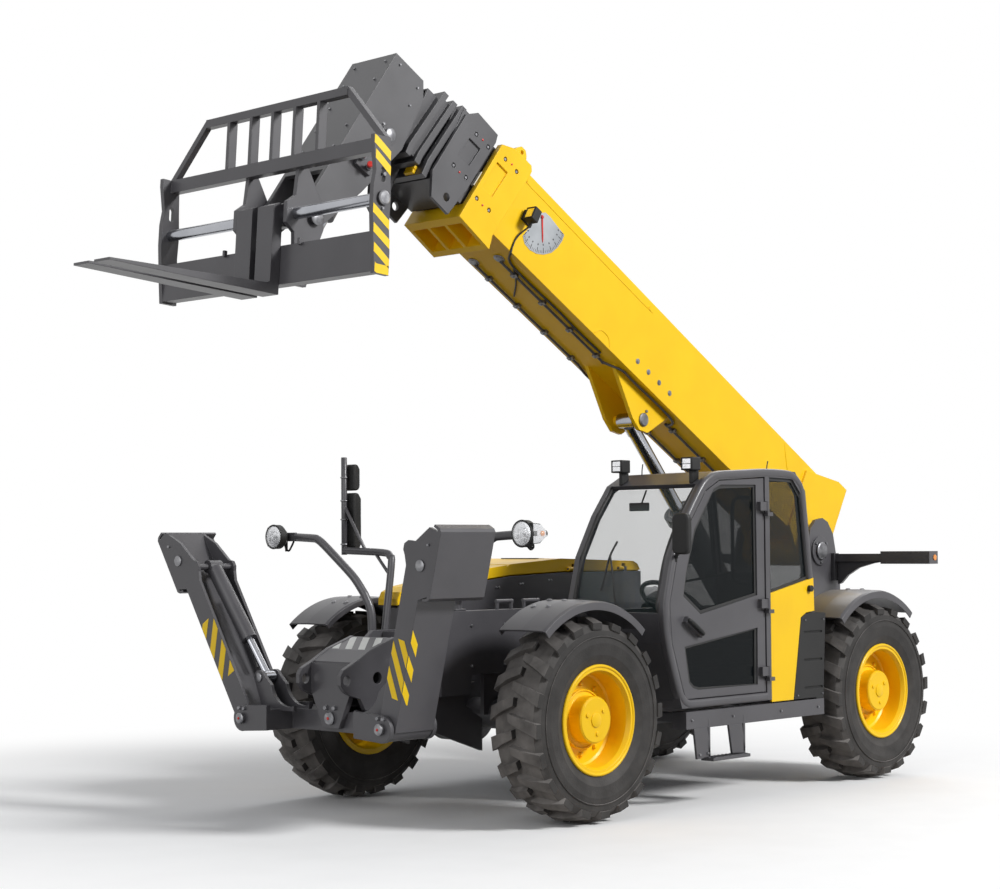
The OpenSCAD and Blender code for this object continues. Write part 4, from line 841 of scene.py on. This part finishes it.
# Outriggers: jack hoses, and the foot's pin cap and bolt
for side, name, start, bend, foot_z in ((1, "left", 200, 420, 815), (-1, "right", 330, 480, 1010)):
    leg = arm(side)
    p = Piece("jack_hoses_" + name, "outrigger_" + name, HOSE)
    for x in (2600, 2625):
        p.hose([(-30, start, x), (-58, bend, x), (-62, 640, x + 6), (-56, 860, x)], 0.008, 8, 8, leg)
    p.done()
    p = Piece("foot_bolts_" + name, "outrigger_" + name, STEEL)
    p.cap(leg(60, foot_z + 170, ARM_FACE), X, 34, 28, 8, 12, 24)
    p.bolt(leg(95, foot_z + 300, ARM_FACE), X, 9)
    p.done()

# Cab: seals, a dark pane of painted shade on the quarter window, handles, rail, wiper, inside mirror, aerials, step
# and screws
FRONT_EDGE = [(888, 1252), (893, 1315), (812, 1602), (649, 1870), (498, 2050)]
REAR_EDGE = [(-724, 1292), (-716, 1450), (-640, 2040), (-590, 2096)]
p = Piece("glass_seals", "chassis", SEAL)
for edge, r in ((FRONT_EDGE, 0.012), (REAR_EDGE, 0.010)):
    for y in (390, 1082):
        p.hose([(x, y, z) for x, z in edge], r, 8, 6)
p.done()


def strip(p, outline, y, w, d):
    """A flat seal of width w laid round an outline on the plane y, standing d out."""
    n = len(outline)
    c = Vector((sum(a for a, b in outline) / n, sum(b for a, b in outline) / n))
    rings = []
    for a, b in outline:
        v = Vector((a, b)) - c
        i = c + v * (1 - w / v.length)
        rings.append([veh(a, y, b), veh(a, y + d, b), veh(i.x, y + d, i.y), veh(i.x, y, i.y)])
    p.loft(rings, closed=True)


PANE_FACE = 1128
UPPER_PANE = [(-92, 1342), (-88, 2078), (301, 2072), (378, 2044), (590, 1778), (680, 1504), (711, 1352), (531, 1233)]
LOWER_PANE = [(-86, 750), (-90, 1127), (704, 1031), (662, 800), (620, 765), (560, 750)]
QUARTER_PANE = [(-236, 1352), (-236, 2131), (-510, 2124), (-612, 2020), (-688, 1445), (-688.7, 1438)]
p = Piece("door_seals", "door", SEAL)
for outline in (UPPER_PANE, LOWER_PANE):
    strip(p, outline, PANE_FACE, 26, 8)
p.done()
# A dark sheet of painted shade laid over the quarter window
p = Piece("quarter_pane_painted_shade", "chassis", QUARTER_GLASS_PAINTED_SHADE)
p.prism(QUARTER_PANE, PANE_FACE + 0.5, PANE_FACE + 2)
p.done()
p = Piece("quarter_seal", "chassis", SEAL)
strip(p, QUARTER_PANE, PANE_FACE, 24, 8)
p.done()
p = Piece("door_handle", "door", PLASTIC)
p.hose([(706, 1178, 1204), (688, 1193, 1193), (576, 1193, 1121), (556, 1178, 1108)], 0.013, 12, 8)
p.done()
p = Piece("door_grab", "door", HOSE)
p.hose([(-70, 1108, 1992), (40, 1088, 1988), (92, 1085, 1930), (95, 1085, 1700), (94, 1085, 1490), (50, 1088, 1436),
        (-70, 1108, 1428)], 0.013, 10, 8)
p.hose([(94, 1085, 1500), (400, 1085, 1468), (690, 1100, 1440)], 0.008, 8, 4)
p.done()


def rail(p, path, half, y0, y1, r):
    """A flat bar with round edges, bent through the x-z points of path."""
    line = curve(path, 8)
    rings = []
    for i, q in enumerate(line):
        tan = tangent(line, i)
        n = Vector((-tan.y, tan.x))
        ring = []
        for side, y, start in ((1, y1 - r, 0), (-1, y1 - r, 90), (-1, y0 + r, 180), (1, y0 + r, 270)):
            for turn in (0, 22.5, 45, 67.5, 90):
                g = math.radians(start + turn)
                o = side * (half - r) + r * math.cos(g)
                ring.append(veh(q.x + n.x * o, y + r * math.sin(g), q.y + n.y * o))
        rings.append(ring)
    p.loft(rings)


p = Piece("cab_rail", "chassis", CHARCOAL)
rail(p, [(-190, 664), (100, 664), (400, 664), (600, 664), (690, 676), (745, 730), (800, 865), (863, 1058), (884, 1190),
         (882, 1312), (850, 1440), (803, 1594), (728, 1735), (640, 1866), (560, 1968), (484, 2056), (415, 2104),
         (326, 2131), (80, 2146), (-181, 2159), (-400, 2158), (-505, 2148), (-575, 2112), (-624, 2050), (-648, 1940),
         (-676, 1730), (-700, 1545), (-713, 1450)], 29, 1092, 1157, 22)
p.done(smooth=60)
p = Piece("wiper", "chassis", SEAL)
p.rod(veh(906, 760, 1275), veh(918, 760, 1278), 0.020, 18, 0.003)
p.hose([(915, 760, 1278), (905, 740, 1340), (868, 690, 1520), (826, 640, 1620)], 0.006, 8, 6)
p.hose([(888, 610, 1385), (862, 625, 1490), (828, 640, 1610), (770, 655, 1705)], 0.007, 8, 6)
p.done()
p = Piece("inside_mirror", "chassis", PLASTIC)
p.box((560, 600, 1905), (580, 760, 1960))
p.rod(veh(560, 690, 1950), veh(505, 690, 2045), 0.006, 10)
p.done(bevel=0.008)
p = Piece("aerials", "chassis", SEAL)
p.hose([(340, 520, 2150), (338, 520, 2185), (330, 520, 2225)], 0.004, 8, 4)
p.hose([(-420, 1000, 2174), (-424, 1000, 2210), (-436, 1000, 2250)], 0.004, 8, 4)
p.done()
STEP_FACE, SILL_FACE = 1151, 1150
p = Piece("step_plates", "chassis", CHARCOAL)
for plate in ([(620, 506), (478, 506), (448, 316), (590, 308)],
              [(250, 506), (102, 506), (72, 330), (92, 312), (214, 318)]):
    p.prism(plate, STEP_FACE - 17, STEP_FACE)
p.box((90, 1098, 300), (450, 1188, 312))
p.done(bevel=0.003)
p = Piece("step_tread", "chassis", STEEL)
for x, z in ((566, 336), (480, 340)):
    p.bolt(veh(x, STEP_FACE, z), Y, 9)
for x in range(88, 88 + 9 * 42, 42):
    p.box((x, 1098, 310), (x + 8, 1184, 314))
p.done()
p = Piece("sill_screws", "chassis", STEEL)
for x in (-780, -340, 200, 640):
    p.bolt(veh(x, SILL_FACE, 560), Y, 8)
for x, z in ((-540, 650), (-836, 650), (-640, 1160), (-858, 1160)):
    p.bolt(veh(x, SILL_FACE, z), Y, 6)
for x in (1010, 1300, 1600, 1900):
    for z in (940, 1190):
        p.bolt(veh(x, 415, z), Y, 9)
p.done()

# Seat: two foam pads over a bellows base, with armrest, belt, lever grip and pedals
FOAM_GRID, FOAM_FRAMES, FOAM_VOXEL = 9, 20, 0.006
SEAM_DEPTH, SEAM_WIDTH = 7, 60


def pad_block(a, b, h):
    """A crowned block whose sides draw in, with a grid of faces on each side."""
    e = FOAM_GRID - 1
    bm = bmesh.new()
    grid = {}

    def vert(i, j, k):
        if (i, j, k) not in grid:
            f = [2 * q / e - 1 for q in (i, j, k)]
            crown = (1 - f[0] ** 4) * (1 - f[1] ** 4)
            side = 1 - 0.05 * (1 - f[2] ** 2)
            draw = [side - 0.03 * (1 - f[1] ** 2), side - 0.03 * (1 - f[0] ** 2)]
            top = 0.5 + 0.5 * f[2]
            z = h * (0.06 + 0.80 * top + (0.08 * crown if k == e else 0))
            grid[i, j, k] = bm.verts.new((a * (0.5 + 0.46 * f[0] * draw[0]), b * (0.5 + 0.46 * f[1] * draw[1]), z))
        return grid[i, j, k]

    for p in range(e):
        for q in range(e):
            for w in (0, e):
                for f in (((p, q, w), (p + 1, q, w), (p + 1, q + 1, w), (p, q + 1, w)),
                          ((p, w, q), (p + 1, w, q), (p + 1, w, q + 1), (p, w, q + 1)),
                          ((w, p, q), (w, p + 1, q), (w, p + 1, q + 1), (w, p, q + 1))):
                    bm.faces.new([vert(*c) for c in f])
    bmesh.ops.recalc_face_normals(bm, faces=bm.faces)
    for v in bm.verts:
        v.co /= 1000
    return bm


def evaluated(ob):
    """The mesh of an object with its modifiers applied."""
    return bpy.data.meshes.new_from_object(ob.evaluated_get(bpy.context.evaluated_depsgraph_get()))


def foam(name, size, at, cap, channels):
    """A foam pad in its cover, in local millimetres with its face towards +z: a block is remeshed, swollen by cloth
    pressure by at most cap, and sewn along its channels, each at an x (True) or at a y (False)."""
    me = bpy.data.meshes.new(name)
    bm = pad_block(*size)
    bm.to_mesh(me)
    bm.free()
    ob = placed(name, me)
    soft = ob.modifiers.new("round", "SUBSURF")
    soft.levels = soft.render_levels = 1
    skin = ob.modifiers.new("skin", "REMESH")
    skin.mode = "VOXEL"
    skin.voxel_size = FOAM_VOXEL
    ob.data = evaluated(ob)
    ob.modifiers.clear()
    rest = [v.co.copy() for v in ob.data.vertices]
    cover = ob.modifiers.new("cover", "CLOTH")
    cover.settings.use_pressure = True
    cover.settings.uniform_pressure_force = 4
    cover.settings.effector_weights.gravity = 0
    cover.point_cache.frame_start, cover.point_cache.frame_end = 1, FOAM_FRAMES
    for f in range(1, FOAM_FRAMES + 1):
        scene.frame_set(f)
    swollen = evaluated(ob)
    ob.modifiers.clear()
    scene.frame_set(1)
    for v, r in zip(swollen.vertices, rest):
        move = v.co - r
        v.co = r + move * min(1, cap / 1000 / max(move.length, 1e-9))
    ob.data = swollen
    h = size[2]
    for v in ob.data.vertices:
        x, y, z = v.co * 1000
        face = min(1, max(0, (z / h - 0.45) / 0.2))
        dip = max(math.exp(-((x if at_x else y) - c) ** 2 / SEAM_WIDTH) for at_x, c in channels)
        v.co = at(x, y, min(max(z - SEAM_DEPTH * face * dip, 0), h))
    ob.data.materials.clear()
    ob.data.materials.append(SEAT)
    for f in ob.data.polygons:
        f.use_smooth = True
    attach(ob, "chassis")


back = turned(-470, 960, math.radians(12))
foam("seat_cushion", (500, 456, 137), lambda x, y, z: veh(-462 + x, 502 + y, 862 + z), 14,
     ((False, 100), (False, 356), (True, 330)))
foam("seat_backrest", (540, 452, 112), lambda x, y, z: back(4 + z, 504 + y, 20 + x), 14,
     ((False, 96), (False, 356), (True, 190), (True, 380)))
FOLDS, FOLD_DEPTH, BASE_FOOT, BASE_TALL = 14, 14, 690, 171
p = Piece("seat_base", "chassis", PLASTIC)
rings = []
for k in range(FOLDS + 1):
    w = 0 if k % 2 else FOLD_DEPTH
    z = BASE_FOOT + BASE_TALL * k / FOLDS
    rings.append([veh(x, y, z) for x, y in ((-420 + w, 560 + w), (-w, 560 + w), (-w, 900 - w), (-420 + w, 900 - w))])
p.loft(rings)
p.box((-436, 424, 865), (-44, 496, 1110))
p.box((-430, 421, 1112), (-60, 499, 1149))
p.box((-300, 905, 880), (-260, 925, 990))
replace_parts(p.done(bevel=0.008), "seat")
p = Piece("seat_belt", "chassis", HOSE)
p.box((-440, 962, 900), (-400, 966, 1330))
p.box((-446, 958, 880), (-394, 972, 905))
p.done(bevel=0.002)
p = Piece("control_grip", "chassis", PLASTIC)
p.spin(veh(-60, 450, 1285), UP, [(0.020, 0), (0.028, 0.02), (0.030, 0.07), (0.022, 0.10), (0.0, 0.105)], 24)
p.box((520, 500, 1040), (640, 940, 1062))
p.box((600, 560, 1062), (625, 720, 1170))
p.done(bevel=0.004)

# Hood and engine side: latches, louvres and screws
LOUVRES, LOUVRE_PITCH, LOUVRE_RISE = 9, 60, 1.86
p = Piece("hood_latches", "hood", PLASTIC)
for x in (-450, 380):
    p.box((x - 45, -1156, 1318), (x + 45, -1150, 1352))
for k in range(LOUVRES):
    x, z = -300 + LOUVRE_PITCH * k, 1574 + LOUVRE_RISE * k
    p.box((x, -900, z), (x + 36, -560, z + 6))
p.done(bevel=0.0025)
p = Piece("bay_screws", "chassis", STEEL)
for x in (-690, -200, 300, 750):
    for z in (620, 1250):
        p.bolt(veh(x, -1150, z), -Y, 9)
for x, z in ((840, 1400), (1000, 1380), (1300, 1340), (1500, 1310), (600, 1420), (300, 1440), (0, 1440)):
    p.bolt(veh(x, -340, z), Y, 8)
    p.bolt(veh(x + 26, -340, z), Y, 8)
p.done()


# Stage: a floor that fades into white, pale surroundings and three lamps
WHITE = (1, 1, 1, 1)


def open_ray(tree):
    """One for camera, glossy and transmission rays, so that metal and glass show the pale surroundings too."""
    ray = add(tree, "LightPath").outputs
    seen = calc(tree, "MAXIMUM", ray["Is Camera Ray"], ray["Is Glossy Ray"])
    return calc(tree, "MAXIMUM", seen, ray["Is Transmission Ray"])


bpy.ops.mesh.primitive_plane_add(size=80, location=(0, 0, -0.001))
floor = bpy.context.object
floor.name = "floor"
pale = surface("floor_pale", grey(0.93), grey(0.95), rough=0.9)
tree = pale.node_tree
place = add(tree, "NewGeometry").outputs["Position"]
far = add(tree, "VectorMath", {0: place}, operation="LENGTH").outputs["Value"]
fade = add(tree, "MapRange", {"Value": far, "From Min": 2.4, "From Max": 6.5}, interpolation_type="SMOOTHSTEP")
glow = add(tree, "Emission", {"Color": WHITE})
shown = add(tree, "MixShader", {0: fade.outputs["Result"], 1: tree.nodes["Principled BSDF"].outputs[0],
                                2: glow.outputs[0]})
ground = add(tree, "BsdfDiffuse", {"Color": (0.26, 0.24, 0.22, 1)})
view = add(tree, "MixShader", {0: open_ray(tree), 1: ground.outputs[0], 2: shown.outputs[0]})
feed(tree, tree.nodes["Material Output"], {"Surface": view.outputs[0]})
floor.data.materials.append(pale)

world = bpy.data.worlds.new("studio")
scene.world = world
world.use_nodes = True
tree = world.node_tree
sky = feed(tree, tree.nodes["Background"], {"Color": (0.92, 0.95, 1.0, 1), "Strength": 0.24})
white = add(tree, "Background", {"Color": WHITE, "Strength": 1.0})
pick = add(tree, "MixShader", {0: open_ray(tree), 1: sky.outputs[0], 2: white.outputs[0]})
feed(tree, tree.nodes["World Output"], {"Surface": pick.outputs[0]})

for name, at, to, size, power in (("key", (-6, 18, 13), (0, 0, 1.5), 5, 4400),
                                  ("fill", (11, 2, 5), (0, 0, 1.5), 7, 380),
                                  ("rim", (-9, -3, 9), (0, 0, 2), 6, 320)):
    lamp = bpy.data.lights.new(name, "AREA")
    lamp.size, lamp.energy = size, power
    ob = placed(name, lamp)
    ob.location = at
    ob.rotation_euler = (Vector(to) - Vector(at)).to_track_quat("-Z", "Y").to_euler()

# Camera solved from the photograph
CAMERA_PLACE = (10823.3, 8961.4, 1672.7)
FOCAL_PIXELS, PHOTO_WIDTH, SENSOR = 1992.56, 1000, 36
yaw, pitch, roll = math.radians(223.51), math.radians(2.27), math.radians(-0.4)
ahead = Vector((math.cos(pitch) * math.cos(yaw), math.cos(pitch) * math.sin(yaw), math.sin(pitch)))
right = Vector((math.sin(yaw), -math.cos(yaw), 0))
up = right.cross(ahead)
axes = (right * math.cos(roll) + up * math.sin(roll), -right * math.sin(roll) + up * math.cos(roll), -ahead)
matrix = Matrix(axes).transposed().to_4x4()
matrix.translation = veh(*CAMERA_PLACE)
cam = bpy.data.cameras.new("camera")
cam.sensor_width = SENSOR
cam.lens = FOCAL_PIXELS * SENSOR / PHOTO_WIDTH
cam.shift_x, cam.shift_y = 0.0207, 0.0240
cam.clip_end = 200
cam_ob = placed("camera", cam)
cam_ob.matrix_world = matrix
scene.camera = cam_ob
scene.view_settings.view_transform = "Standard"
